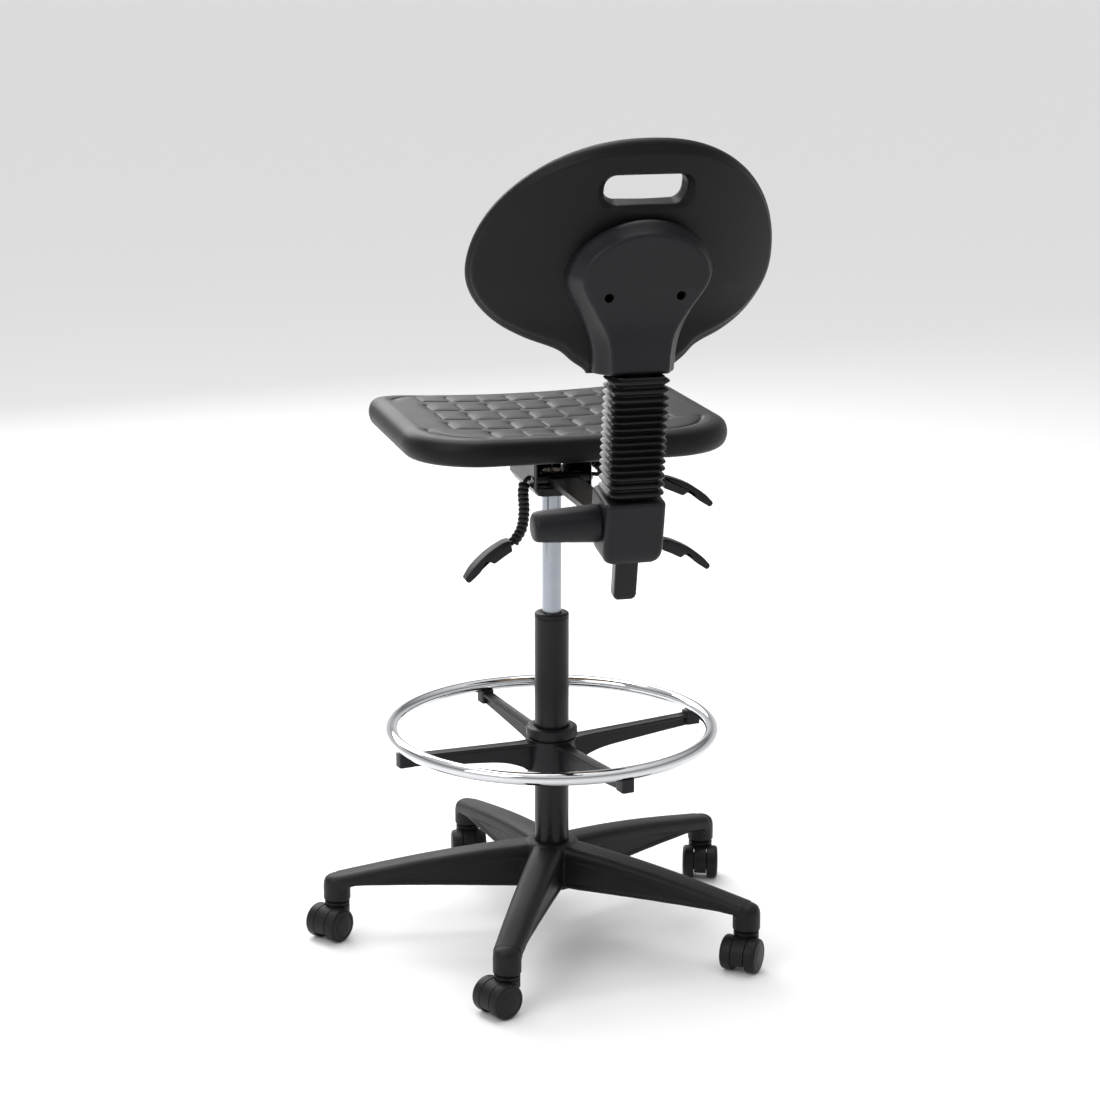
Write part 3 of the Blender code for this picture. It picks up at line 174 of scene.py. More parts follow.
def tube(path, radii, count=16, lining=None):
    """A tube of varying radius along a path, solid, or open-ended round a bore."""
    turns = frames(path)

    def rings(sizes):
        return [
            [Vector(p) + m @ Vector((x, y, 0)) for x, y in circle(r, count)]
            for p, m, r in zip(path, turns, sizes)
        ]

    if lining is None:
        return loft(rings(radii))
    return loft(rings(radii) + rings([lining] * len(path))[::-1], closed=True)


def turn_about(angle):
    return Matrix.Rotation(angle, 4, "Z")


def polar(radius, angle, z=0.0):
    return Vector((radius * math.cos(angle), radius * math.sin(angle), z))


# ---------------------------------------------------------------- pieces


def as_object(name, bm):
    bmesh.ops.recalc_face_normals(bm, faces=bm.faces)
    mesh = bpy.data.meshes.new(name)
    bm.to_mesh(mesh)
    bm.free()
    made = bpy.data.objects.new(name, mesh)
    bpy.context.scene.collection.objects.link(made)
    return made


def settle(obj):
    """Applies an object's modifiers to its mesh."""
    graph = bpy.context.evaluated_depsgraph_get()
    mesh = bpy.data.meshes.new_from_object(obj.evaluated_get(graph))
    obj.modifiers.clear()
    old = obj.data
    obj.data = mesh
    bpy.data.meshes.remove(old)


def combine(obj, shapes, operation):
    """Joins shapes to an object, or cuts them from it."""
    tools = []
    for k, bm in enumerate(shapes):
        tool = as_object(f"tool_{k}", bm)
        modifier = obj.modifiers.new(tool.name, "BOOLEAN")
        modifier.operation = operation
        modifier.solver = "EXACT"
        modifier.object = tool
        tools.append(tool)
    settle(obj)
    for tool in tools:
        bpy.data.objects.remove(tool, do_unlink=True)


def melt(obj, voxel, rounds):
    """Makes one skin of overlapping shapes and softens its corners, as a moulding has."""
    modifier = obj.modifiers.new("remesh", "REMESH")
    modifier.mode = "VOXEL"
    modifier.voxel_size = voxel
    smoothing = obj.modifiers.new("smooth", "SMOOTH")
    smoothing.factor = 0.5
    smoothing.iterations = rounds
    settle(obj)


def soften(obj, width, segments=2, angle=30):
    modifier = obj.modifiers.new("bevel", "BEVEL")
    modifier.width = width
    modifier.segments = segments
    modifier.limit_method = "ANGLE"
    modifier.angle_limit = math.radians(angle)
    modifier.harden_normals = False


def finish_piece(obj, body, slot, nodes, angle=32):
    """Moves a piece from the column's frame to the model's, and gives it its body, look and CAD nodes."""
    obj.data.transform(Matrix.Translation(AXIS))
    obj.data.shade_smooth()
    obj.data.set_sharp_from_angle(angle=math.radians(angle))
    obj.data.materials.clear()
    obj.data.materials.append(LOOKS[slot])
    if body:
        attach(obj, body)
    if nodes:
        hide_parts(*nodes)
    return obj


def turned_piece(name, profile, body, slot, node):
    """A hollow piece turned about the column's axis."""
    finish_piece(as_object(name, turned(profile, 128, closed=True)), body, slot, [node])


# ---------------------------------------------------------------- materials


def add_node(nodes, kind, **values):
    """A shader node with some of its inputs set, an underscore standing for a space."""
    node = nodes.new(f"ShaderNode{kind}")
    for name, value in values.items():
        node.inputs[name.replace("_", " ")].default_value = value
    return node


def look(name, dark, light, rough, grain, bump, metallic=0.0, stretch=(1, 1, 1), blotch=9.0, sheen=0.35):
    """A material whose colour and roughness drift over the surface, with a fine moulded or brushed grain.

    rough is its lowest and highest roughness. grain is the size of the texture's features,
    and bump its depth."""
    made = bpy.data.materials.new(name)
    made.use_nodes = True
    nodes, links = made.node_tree.nodes, made.node_tree.links
    shader = nodes["Principled BSDF"]
    shader.inputs["Metallic"].default_value = metallic
    shader.inputs["Specular IOR Level"].default_value = sheen
    place = nodes.new("ShaderNodeTexCoord").outputs["Object"]
    scale = add_node(nodes, "Mapping", Scale=stretch)
    links.new(place, scale.inputs["Vector"])
    drift = add_node(nodes, "TexNoise", Scale=blotch, Detail=5, Roughness=0.6)
    links.new(place, drift.inputs["Vector"])
    fine = add_node(nodes, "TexNoise", Scale=1 / grain, Detail=3)
    links.new(scale.outputs["Vector"], fine.inputs["Vector"])
    colour = nodes.new("ShaderNodeValToRGB")
    for stop, position, value in zip(colour.color_ramp.elements, (0.3, 0.7), (dark, light)):
        stop.position = position
        stop.color = (*value, 1)
    links.new(drift.outputs["Fac"], colour.inputs["Fac"])
    links.new(colour.outputs["Color"], shader.inputs["Base Color"])
    both = nodes.new("ShaderNodeMath")
    both.operation = "MULTIPLY_ADD"
    both.inputs[1].default_value = 0.5
    links.new(fine.outputs["Fac"], both.inputs[0])
    half = nodes.new("ShaderNodeMath")
    half.operation = "MULTIPLY"
    half.inputs[1].default_value = 0.5
    links.new(drift.outputs["Fac"], half.inputs[0])
    links.new(half.outputs["Value"], both.inputs[2])
    gloss = add_node(nodes, "MapRange", From_Min=0.3, From_Max=0.7, To_Min=rough[0], To_Max=rough[1])
    links.new(both.outputs["Value"], gloss.inputs["Value"])
    links.new(gloss.outputs["Result"], shader.inputs["Roughness"])
    relief = add_node(nodes, "Bump", Strength=0.6, Distance=bump)
    links.new(fine.outputs["Fac"], relief.inputs["Height"])
    links.new(relief.outputs["Normal"], shader.inputs["Normal"])
    return made


def pebble(made, size, depth):
    """Adds a self-skinned foam's pebbled grain over a material's own grain."""
    nodes, links = made.node_tree.nodes, made.node_tree.links
    shader = nodes["Principled BSDF"]
    place = nodes.new("ShaderNodeTexCoord")
    cells = nodes.new("ShaderNodeTexVoronoi")
    cells.feature = "SMOOTH_F1"
    cells.inputs["Scale"].default_value = 1 / size
    links.new(place.outputs["Object"], cells.inputs["Vector"])
    relief = add_node(nodes, "Bump", Strength=0.5, Distance=depth)
    relief.invert = True
    links.new(cells.outputs["Distance"], relief.inputs["Height"])
    links.new(shader.inputs["Normal"].links[0].from_socket, relief.inputs["Normal"])
    links.new(relief.outputs["Normal"], shader.inputs["Normal"])


# What each material slot of the CAD model looks like: name, dark, light and rough, as look takes them.
LOOKS = {
    "black_nylon": look(
        "glass_filled_nylon", (0.0060, 0.0060, 0.0068), (0.0096, 0.0096, 0.0106), (0.40, 0.52),
        grain=0.0011, bump=0.00014, sheen=0.20,
    ),
    "black_plastic": look(
        "moulded_plastic", (0.0070, 0.0074, 0.0088), (0.0104, 0.0110, 0.0128), (0.36, 0.46),
        grain=0.0009, bump=0.0001, sheen=0.22,
    ),
    "caster_plastic": look(
        "caster_nylon", (0.0060, 0.0060, 0.0066), (0.0094, 0.0094, 0.0102), (0.38, 0.50),
        grain=0.0012, bump=0.0001, sheen=0.20,
    ),
    "polyurethane": look(
        "foam_skin", (0.0042, 0.0043, 0.0051), (0.0068, 0.0069, 0.0080), (0.40, 0.52),
        grain=0.0022, bump=0.00012, sheen=0.17,
    ),
    "rubber": look(
        "black_rubber", (0.0030, 0.0030, 0.0034), (0.0050, 0.0050, 0.0056), (0.30, 0.42),
        grain=0.0016, bump=0.00001, sheen=0.26,
    ),
    "black_steel": look(
        "powder_coat", (0.0026, 0.0026, 0.0030), (0.0042, 0.0042, 0.0048), (0.26, 0.36),
        grain=0.0018, bump=0.0001, sheen=0.26,
    ),
    "satin_steel": look(
        "satin_steel_tube", (0.30, 0.32, 0.36), (0.37, 0.39, 0.43), (0.22, 0.32),
        grain=0.0012, bump=0.00003, metallic=1.0, stretch=(1, 1, 0.02),
    ),
    "chrome": look(
        "bright_chrome", (0.60, 0.61, 0.63), (0.66, 0.67, 0.69), (0.03, 0.07),
        grain=0.006, bump=0.000008, metallic=1.0,
    ),
    "zinc_steel": look(
        "zinc_plate", (0.30, 0.30, 0.29), (0.42, 0.42, 0.40), (0.28, 0.42),
        grain=0.0012, bump=0.00004, metallic=1.0, blotch=60.0,
    ),
    "plywood": look(
        "plywood_sheet", (0.30, 0.19, 0.09), (0.46, 0.32, 0.18), (0.6, 0.8),
        grain=0.004, bump=0.0002, stretch=(1, 12, 12),
    ),
}
pebble(LOOKS["polyurethane"], size=0.0016, depth=0.00006)


def dress_nodes():
    """Gives every CAD node its procedural material, and the mechanism's housing, link arm and seat plate a
    small round on their edges.
    """
    for part in frame["record"]["subparts"]:
        node = NODES[part["node"]]
        node.data.materials.clear()
        node.data.materials.append(LOOKS[part["material_slot"]])
    for name in ("mechanism_housing", "link_arm", "seat_plate"):
        soften(NODES[name], 0.0005, 2, 40)


# ---------------------------------------------------------------- base and casters

ARM_COUNT = 5
FIRST_ARM = math.radians(-8.1)
SOCKET_CIRCLE = 0.3177  # radius of the circle of the caster stems
STEM_TOP = 0.0813
STEM_BORE = 0.0058
HUB_BORE = 0.021
SOCKET_BOTTOM = 0.0560
SOCKET_RADIUS = 0.01975
ARM_END_TOP = 0.0960
HUB_TOP = 0.1360
HUB_BOTTOM = 0.067
HUB_RADIUS = 0.040
COLUMN_RADIUS = 0.025
COLUMN_BOTTOM = 0.073
COLUMN_TOP = 0.476


def arm_rings():
    """An arm along +X: a crowned top band that overhangs a recessed side, over an open underside."""
    root, end = HUB_RADIUS * 0.5, SOCKET_CIRCLE
    knots = (
        (0.0, 0.0250, 0.0), (0.12, 0.0240, 0.10), (0.35, 0.0228, 0.45), (0.60, 0.0218, 0.78),
        (0.85, 0.0208, 1.0), (1.0, 0.0199, 1.0),
    )
    rings = []
    for share, width, arch in spline(knots, 8):
        x = root + (end - root) * share
        crown = 0.0050 * math.sin(math.pi * share**0.9)
        top = HUB_TOP + (ARM_END_TOP - HUB_TOP) * share - 0.0004 + crown
        bottom = HUB_BOTTOM + 0.003 + 0.010 * arch
        tall = top - bottom
        fade = max(0.0, min(1.0, (0.93 - share) / 0.10)) * min(1.0, share / 0.10)
        shape = [
            (0.0, top), (0.35, top - 0.0002), (0.65, top - 0.0010), (0.86, top - 0.0035),
            (0.97, top - 0.0072), (1.0, top - 0.0115), (1.0, top - 0.0160), (0.975, top - 0.0182),
            (1.0 - 0.125 * fade, top - 0.0200), (1.0 - 0.150 * fade, top - 0.62 * tall),
            (1.0 - 0.150 * fade, bottom + 0.0075), (1.0 - 0.060 * fade, bottom + 0.0060),
            (0.95, bottom + 0.0030), (0.86, bottom + 0.0006), (0.70, bottom),
        ]
        right = [(x, -width * w, z) for w, z in shape]
        left = [(x, width * w, z) for w, z in reversed(shape[1:])]
        rings.append(right + left)
    return rings


def make_base():
    hub = as_object(
        "base_moulding",
        turned(
            [
                (HUB_RADIUS * 0.80, HUB_BOTTOM), (HUB_RADIUS * 0.98, HUB_BOTTOM + 0.001),
                (HUB_RADIUS, HUB_BOTTOM + 0.004), (HUB_RADIUS, HUB_TOP - 0.010),
                (HUB_RADIUS * 0.97, HUB_TOP - 0.004), (HUB_RADIUS * 0.88, HUB_TOP - 0.0005),
                (HUB_RADIUS * 0.70, HUB_TOP),
            ],
            72,
        ),
    )
    shapes = []
    angles = [FIRST_ARM + 2 * math.pi * k / ARM_COUNT for k in range(ARM_COUNT)]
    for angle in angles:
        limb = loft(arm_rings())
        bmesh.ops.transform(limb, matrix=turn_about(angle), verts=limb.verts)
        r = SOCKET_RADIUS
        cup = turned(
            [
                (r - 0.0015, SOCKET_BOTTOM), (r, SOCKET_BOTTOM + 0.0015), (r, ARM_END_TOP - 0.0175),
                (r * 0.97, ARM_END_TOP - 0.0115), (r * 0.86, ARM_END_TOP - 0.0062),
                (r * 0.62, ARM_END_TOP - 0.0026), (r * 0.30, ARM_END_TOP - 0.0012),
            ],
            48,
            polar(SOCKET_CIRCLE, angle),
        )
        shapes += [limb, cup]
    merged = bmesh.new()
    merged.from_mesh(hub.data)
    for bm in shapes:
        bmesh.ops.recalc_face_normals(bm, faces=bm.faces)
        scratch = bpy.data.meshes.new("scratch")
        bm.to_mesh(scratch)
        bm.free()
        merged.from_mesh(scratch)
        bpy.data.meshes.remove(scratch)
    merged.to_mesh(hub.data)
    merged.free()
    melt(hub, 0.0016, 3)
    cuts = [
        rod(COLUMN_RADIUS + GAP, (0, 0, COLUMN_BOTTOM - GAP), (0, 0, HUB_TOP + 0.01), 96),
        rod(HUB_BORE, (0, 0, HUB_BOTTOM - 0.01), (0, 0, COLUMN_BOTTOM), 48),
    ]
    for angle in angles:
        low = polar(SOCKET_CIRCLE, angle, SOCKET_BOTTOM - 0.01)
        cuts.append(rod(STEM_BORE, low, polar(SOCKET_CIRCLE, angle, STEM_TOP), 24))
    combine(hub, cuts, "DIFFERENCE")
    finish_piece(hub, "base", "black_nylon", ["star_base"], 40)


WHEEL_RADIUS = 0.025
WHEEL_FACE = 0.027  # of a wheel's outer face, from the caster's middle
HOOD_HALF = 0.0095
WEB_HALF = 0.0035
AXLE_RADIUS = 0.003
DRUM_RADIUS = 0.0135  # of the inner part of a wheel, which runs inside the hood


def make_caster(k):
    name = f"caster_{k}"
    swivel = JOINTS[f"{name}_swivel"]
    spin = JOINTS[f"{name}_left_spin"]
    stem = Vector(swivel["pos_m"]) - AXIS
    hub = Vector(spin["pos_m"]) - AXIS
    side = Vector(spin["axis"])
    trail = math.atan2(side.y, side.x) - math.pi / 2

    def disc(radius, low, high, count=72):
        return rod(radius, hub + side * low, hub + side * high, count)

    def local(x, y, z):
        return Vector((stem.x, stem.y, 0)) + polar(x, trail) + side * y + Vector((0, 0, z))

    hood = as_object(f"{name}_fork", disc(WHEEL_RADIUS - 0.0004, -HOOD_HALF, HOOD_HALF))
    boss = SOCKET_RADIUS - 0.0016
    boss_top = SOCKET_BOTTOM - 0.0015
    neck = turned(
        [
            (boss * 0.9, 0.036), (boss, 0.037), (boss, boss_top - 0.0060),
            (boss - 0.0012, boss_top - 0.0052), (boss - 0.0012, boss_top - 0.0042),
            (boss, boss_top - 0.0034), (boss, boss_top - 0.001), (boss - 0.001, boss_top),
        ],
        64,
        Vector((stem.x, stem.y, 0)),
    )
    combine(hood, [neck], "UNION")
    turn = Matrix.Translation(hub) @ turn_about(trail)
    cuts = [block((-0.04, -0.03, -0.04), (0.04, 0.03, -0.0120), turn)]
    for way in (-1, 1):
        outer = way * (HOOD_HALF - GAP / 2), way * (HOOD_HALF + 0.012)
        cuts.append(disc(WHEEL_RADIUS + 0.0008, *outer))
        cuts.append(disc(DRUM_RADIUS + 0.0008, way * WEB_HALF, way * (HOOD_HALF + 0.001)))
    cuts.append(disc(AXLE_RADIUS + GAP, -0.02, 0.02, 24))
    cuts.append(rod(0.006, local(0, 0, 0.0434), local(0, 0, 0.07), 24))
    combine(hood, cuts, "DIFFERENCE")
    soften(hood, 0.0005, 2, 40)
    finish_piece(hood, f"{name}_swivel", "black_nylon", [f"{name}_hood"])

    for word, way in (("left", 1), ("right", -1)):
        bore = AXLE_RADIUS + RUN
        inner, drum, step, face, r = WEB_HALF + RUN, DRUM_RADIUS, HOOD_HALF + RUN, WHEEL_FACE, WHEEL_RADIUS
        profile = [
            (bore, 0.024), (bore, inner), (drum, inner), (drum, step), (r - 0.0012, step),
            (r, step + 0.0010), (r, face - 0.0050), (r - 0.0005, face - 0.0030),
            (r - 0.0018, face - 0.0012), (r - 0.0040, face - 0.0002), (r - 0.0065, face),
            (r - 0.0072, face - 0.0004), (r - 0.0078, face - 0.0004), (r - 0.0086, face + 0.0001),
            (0.010, face + 0.0005), (0.004, face + 0.0006),
        ]
        wheel = as_object(f"{name}_tyre_{word}", turned(profile, 80, hub, side * way))
        finish_piece(wheel, f"{name}_{word}_spin", "caster_plastic", [f"{name}_wheel_{word}"], 38)


def make_column():
    inner = COLUMN_RADIUS - 0.002
    floor = COLUMN_BOTTOM + 0.004
    hole = 0.0055
    profile = [
        (hole, COLUMN_BOTTOM), (COLUMN_RADIUS, COLUMN_BOTTOM), (COLUMN_RADIUS, COLUMN_TOP - 0.0006),
        (COLUMN_RADIUS - 0.0006, COLUMN_TOP), (inner, COLUMN_TOP), (inner, floor), (hole, floor),
    ]
    turned_piece("column", profile, "base", "black_steel", "column_tube")
    bore = 0.014 + RUN
    cap = COLUMN_TOP + GAP
    r = COLUMN_RADIUS
    profile = [
        (bore, COLUMN_TOP - 0.090), (inner - GAP, COLUMN_TOP - 0.090), (inner - GAP, cap), (r, cap),
        (r, cap + 0.0042), (r - 0.0008, cap + 0.0058), (r - 0.0024, cap + 0.0068),
        (r - 0.0040, cap + 0.0070), (bore + 0.0015, cap + 0.0070), (bore, cap + 0.0060),
    ]
    turned_piece("column_bush", profile, "base", "black_plastic", "guide_bush")
    low, top = 0.2550, 0.6930
    profile = [
        (0.0055, low), (0.0130, low), (0.0140, low + 0.001), (0.0140, top - 0.001), (0.0130, top),
        (0.0030, top), (0.0030, top - 0.015), (0.0110, top - 0.015), (0.0110, low + 0.020),
        (0.0055, low + 0.020),
    ]
    turned_piece("upper_cylinder", profile, "lift", "satin_steel", "gas_cylinder")


# ---------------------------------------------------------------- footring

RING_RADIUS = 0.2336
RING_TUBE = 0.0095
RING_Z = 0.3084
FHUB_RADIUS = 0.0355
FHUB_LOW = 0.233
FHUB_HIGH = 0.294
SPOKE_HALF = 0.0095
FIRST_SPOKE = math.radians(11)


def spoke_rings():
    """A spoke along +X: a lipped flange over a tapering web, deeper towards the hub."""
    crest = RING_Z - RING_TUBE - GAP
    start = FHUB_RADIUS * 0.75
    foot = RING_RADIUS + 0.010 - 0.023
    rings = []
    knots = (
        (start, 0.046, 0.0150), (0.040, 0.043, 0.0118), (0.052, 0.036, 0.0096), (0.085, 0.027, 0.0088),
        (0.150, 0.022, 0.0084), (foot + 0.008, 0.0175, 0.0082),
    )
    for x, deep, wide in spline(knots, 6):
        top = crest - 0.0075 * (foot - x) / (foot - start) - GAP
        z = top - 0.0048
        web = 0.0033
        half = [
            (0.0, top - 0.0006), (wide * 0.80, top - 0.0004), (wide * 0.96, top), (wide, top - 0.0010),
            (wide, z + 0.0010), (wide * 0.92, z), (web + 0.0014, z - 0.0006), (web, z - 0.0020),
            (web, top - deep + 0.0012), (web * 0.6, top - deep),
        ]
        rings.append([(x, -w, h) for w, h in half] + [(x, w, h) for w, h in reversed(half[1:])])
    return rings


def make_footring():
    low, high, r = FHUB_LOW, FHUB_HIGH, FHUB_RADIUS
    hub = as_object(
        "footring_spider",
        turned([(r - 0.0012, low), (r, low + 0.0012), (r, high - 0.0012), (r - 0.0012, high)], 72),
    )
    crest = RING_Z - RING_TUBE - GAP
    end = RING_RADIUS + 0.010
    shapes = []
    for k in range(4):
        angle = FIRST_SPOKE + math.pi / 2 * k
        limb = loft(spoke_rings())
        outline = [(x + end - 0.0115, y) for x, y in rounded(0.0115, SPOKE_HALF, 0.0035, 4)]
        foot = loft([[(x, y, z) for x, y in outline] for z in (crest - 0.016, crest + 0.0035)])
        for bm in (limb, foot):
            bmesh.ops.transform(bm, matrix=turn_about(angle), verts=bm.verts)
            shapes.append(bm)
    combine(hub, shapes, "UNION")
    cuts = []
    for k in range(4):
        angle = FIRST_SPOKE + math.pi / 2 * k
        middle = polar(RING_RADIUS, angle, RING_Z)
        tangent = polar(0.02, angle + math.pi / 2)
        cuts.append(rod(RING_TUBE + 2 * GAP, middle - tangent, middle + tangent, 48))
    cuts.append(rod(COLUMN_RADIUS + RUN, (0, 0, low - 0.01), (0, 0, high + 0.01), 96))
    combine(hub, cuts, "DIFFERENCE")
    soften(hub, 0.0007, 2, 35)
    finish_piece(hub, "footring", "black_plastic", ["footring_hub"])

    segments, sides = 240, 28
    rings = [
        [polar(RING_RADIUS + x, 2 * math.pi * i / segments, RING_Z + z) for x, z in circle(RING_TUBE, sides)]
        for i in range(segments)
    ]
    finish_piece(as_object("foot_ring", loft(rings, closed=True)), "footring", "chrome", ["footring_ring"])
    bore = COLUMN_RADIUS + RUN
    radius, base = 0.0375, high + GAP
    top = base + 0.018
    profile = [
        (bore, base), (r - 0.0035, base), (r - 0.0035, base + 0.0028), (radius - 0.001, base + 0.0034),
        (radius, base + 0.0044), (radius, top - 0.0040), (radius - 0.0008, top - 0.0018),
        (radius - 0.0028, top - 0.0004), (radius - 0.0050, top), (bore + 0.001, top),
        (bore, top - 0.001),
    ]
    turned_piece("locking_collar", profile, "footring_lock", "black_plastic", "footring_collar")


# ---------------------------------------------------------------- seat

SEAT_HALF = 0.2325
SEAT_FRONT, SEAT_REAR = -0.258, 0.178
SEAT_MIDDLE = (SEAT_FRONT + SEAT_REAR) / 2
SEAT_DEEP = (SEAT_REAR - SEAT_FRONT) / 2
SEAT_CORNER = 0.107
SEAT_LOW, SEAT_THICK = 0.737, 0.042
SEAT_DISH, SEAT_DROP = 0.010, 0.012


def seat_top(x, y):
    across = np.minimum(1.0, np.abs(x) / SEAT_HALF)
    ahead = np.maximum(0.0, (SEAT_FRONT + 0.110 - y) / 0.110)
    rear = np.clip((y - SEAT_REAR + 0.080) / 0.080, 0, 1)
    dish = SEAT_DISH * (1 - across**2) * (1 - rear**2)
    return SEAT_LOW + SEAT_THICK - dish - SEAT_DROP * ahead**2


def distance_to(x, y, a, b):
    """Distance of points from the segment between a and b."""
    ax, ay = a
    dx, dy = b[0] - ax, b[1] - ay
    t = np.clip(((x - ax) * dx + (y - ay) * dy) / (dx * dx + dy * dy), 0, 1)
    return np.hypot(x - ax - dx * t, y - ay - dy * t)


def groove_lines(half_x, half_y, corner, pitch=0.045, dash=0.034, row=0.070, leg=0.044):
    """Rows of dashes inside a rounded field, each with a leg at one end, which is deep at every other dash.

    It returns the deep lines and the faint ones."""
    lines, faint = [], []

    def inside(x, y):
        qx, qy = max(abs(x) - half_x + corner, 0), max(abs(y) - half_y + corner, 0)
        return abs(x) < half_x and abs(y) < half_y and math.hypot(qx, qy) < corner

    columns, rows = int(half_x / pitch) + 1, int(half_y / row) + 1
    for i in range(-columns, columns + 1):
        for j in range(-rows, rows + 1):
            x, y = i * pitch, (j + 0.5) * row
            ends = [(x - dash / 2, y), (x + dash / 2, y)]
            if all(inside(*p) for p in ends):
                lines.append(ends)
            tip = x + dash / 2
            bend = [(tip, y), (tip + 0.004, y - 0.006), (tip + 0.005, y - leg)]
            if all(inside(*p) for p in bend):
                (faint if (i + j) % 2 else lines).append(bend)
    far = corner + 0.004
    for sx in (-1, 1):
        for sy in (-1, 1):
            arc = []
            for i in range(9):
                a = math.radians(12 + 66 * i / 8)
                x, y = half_x - corner + far * math.cos(a), half_y - corner + far * math.sin(a)
                arc.append((sx * x, sy * y))
            lines.append(arc)
    return lines, faint


def groove_depth(x, y, lines, depth=0.0018, flat=0.0008, reach=0.0032, sag=0.0013, spread=0.009):
    deepest = np.zeros(np.shape(x))
    for group, strength in zip(lines, (1.0, 0.45)):
        nearest = np.full(np.shape(x), 1.0)
        for line in group:
            for a, b in zip(line, line[1:]):
                nearest = np.minimum(nearest, distance_to(x, y, a, b))
        t = np.clip((nearest - flat) / (reach - flat), 0, 1)
        sunk = depth * (1 - t * t * (3 - 2 * t)) + sag * np.exp(-((nearest / spread) ** 2))
        deepest = np.maximum(deepest, strength * sunk)
    return deepest


def square_ring(half_x, half_y, nx, ny):
    """A rectangle's border points, counter-clockwise from its lowest corner."""
    xs = np.linspace(-half_x, half_x, nx + 1)
    ys = np.linspace(-half_y, half_y, ny + 1)
    sides = [
        np.stack([xs[:-1], np.full(nx, -half_y)], 1),
        np.stack([np.full(ny, half_x), ys[:-1]], 1),
        np.stack([xs[:0:-1], np.full(nx, half_y)], 1),
        np.stack([np.full(ny, -half_x), ys[:0:-1]], 1),
    ]
    return np.concatenate(sides)


def round_ring(half_x, half_y, radius, nx, ny):
    """A rounded rectangle's points, matched to square_ring's: each side runs between two corners' middles."""
    eighth = np.linspace(0, math.pi / 4, 64)
    flat_x, flat_y = half_x - radius, half_y - radius
    rings = []
    for (ax, ay), (bx, by), start, count in (
        ((-1, -1), (1, -1), math.pi * 1.25, nx), ((1, -1), (1, 1), math.pi * 1.75, ny),
        ((1, 1), (-1, 1), math.pi * 0.25, nx), ((-1, 1), (-1, -1), math.pi * 0.75, ny),
    ):
        first = start + eighth
        last = start + math.pi / 4 + eighth
        px = np.concatenate([ax * flat_x + radius * np.cos(first), bx * flat_x + radius * np.cos(last)])
        py = np.concatenate([ay * flat_y + radius * np.sin(first), by * flat_y + radius * np.sin(last)])
        run = np.concatenate([[0], np.cumsum(np.hypot(np.diff(px), np.diff(py)))])
        at = np.linspace(0, run[-1], count + 1)[:-1]
        rings.append(np.stack([np.interp(at, run, px), np.interp(at, run, py)], 1))
    return np.concatenate(rings)


def make_seat():
    cell = 0.0019
    grid_x, grid_y = 0.178, 0.160
    nx, ny = round(2 * grid_x / cell), round(2 * grid_y / cell)
    lines = groove_lines(0.196, 0.180, 0.085)

    def outline(inset):
        return round_ring(SEAT_HALF - inset, SEAT_DEEP - inset, max(SEAT_CORNER - inset, 0.02), nx, ny)

    def ring(xy, z):
        return np.column_stack([xy[:, 0], xy[:, 1] + SEAT_MIDDLE, z])

    def top(xy):
        return seat_top(xy[:, 0], xy[:, 1] + SEAT_MIDDLE)

    rings = []
    for inset in (0.150, 0.120, 0.090, 0.060, 0.030):
        xy = outline(inset)
        rings.append(ring(xy, np.full(len(xy), SEAT_LOW + 0.0002)))
    edge = (
        (0.019, 0.0), (0.010, 0.035), (0.0035, 0.16), (0.0, 0.40), (0.0006, 0.62), (0.0042, 0.82),
        (0.0115, 0.945), (0.0230, 1.0),
    )
    for inset, share in spline(edge, 4):
        xy = outline(max(0.0, inset))
        z = top(xy)
        sunk = groove_depth(xy[:, 0], xy[:, 1], lines) * (share > 0.99)
        rings.append(ring(xy, SEAT_LOW + (z - SEAT_LOW) * share - sunk))
    outer, inner = outline(0.0230), square_ring(grid_x, grid_y, nx, ny)
    steps = 14
    for i in range(1, steps):
        xy = outer + (inner - outer) * i / steps
        rings.append(ring(xy, top(xy) - groove_depth(xy[:, 0], xy[:, 1], lines)))
    count = len(inner)
    gx, gy = np.meshgrid(np.linspace(-grid_x, grid_x, nx + 1), np.linspace(-grid_y, grid_y, ny + 1))
    flat = np.column_stack([gx.ravel(), gy.ravel()])
    field = ring(flat, top(flat) - groove_depth(flat[:, 0], flat[:, 1], lines))
    points = np.concatenate(rings + [field])
    base = len(rings) * count
    wide = nx + 1
    border = list(range(nx)) + [j * wide + nx for j in range(ny)]
    border += [ny * wide + i for i in range(nx, 0, -1)] + [j * wide for j in range(ny, 0, -1)]
    faces = []
    for r in range(len(rings)):
        for i in range(count):
            j = (i + 1) % count
            if r + 1 < len(rings):
                faces.append((r * count + i, r * count + j, (r + 1) * count + j, (r + 1) * count + i))
            else:
                faces.append((r * count + i, r * count + j, base + border[j], base + border[i]))
    for j in range(ny):
        for i in range(nx):
            a = base + j * wide + i
            faces.append((a, a + 1, a + 1 + wide, a + wide))
    faces.append(tuple(range(count - 1, -1, -1)))
    mesh = bpy.data.meshes.new("seat_cushion")
    mesh.from_pydata(points.tolist(), [], faces)
    mesh.update()
    seat = bpy.data.objects.new("seat_cushion", mesh)
    bpy.context.scene.collection.objects.link(seat)
    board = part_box("seat_board")
    low, high = board[0] - AXIS, board[1] - AXIS
    low, high = low - Vector((0.001, 0.001, 0.01)), high + Vector((0.001, 0.001, GAP))
    combine(seat, [block(low, high)], "DIFFERENCE")
    finish_piece(seat, "seat", "polyurethane", ["seat_pad"], 60)


# ---------------------------------------------------------------- back

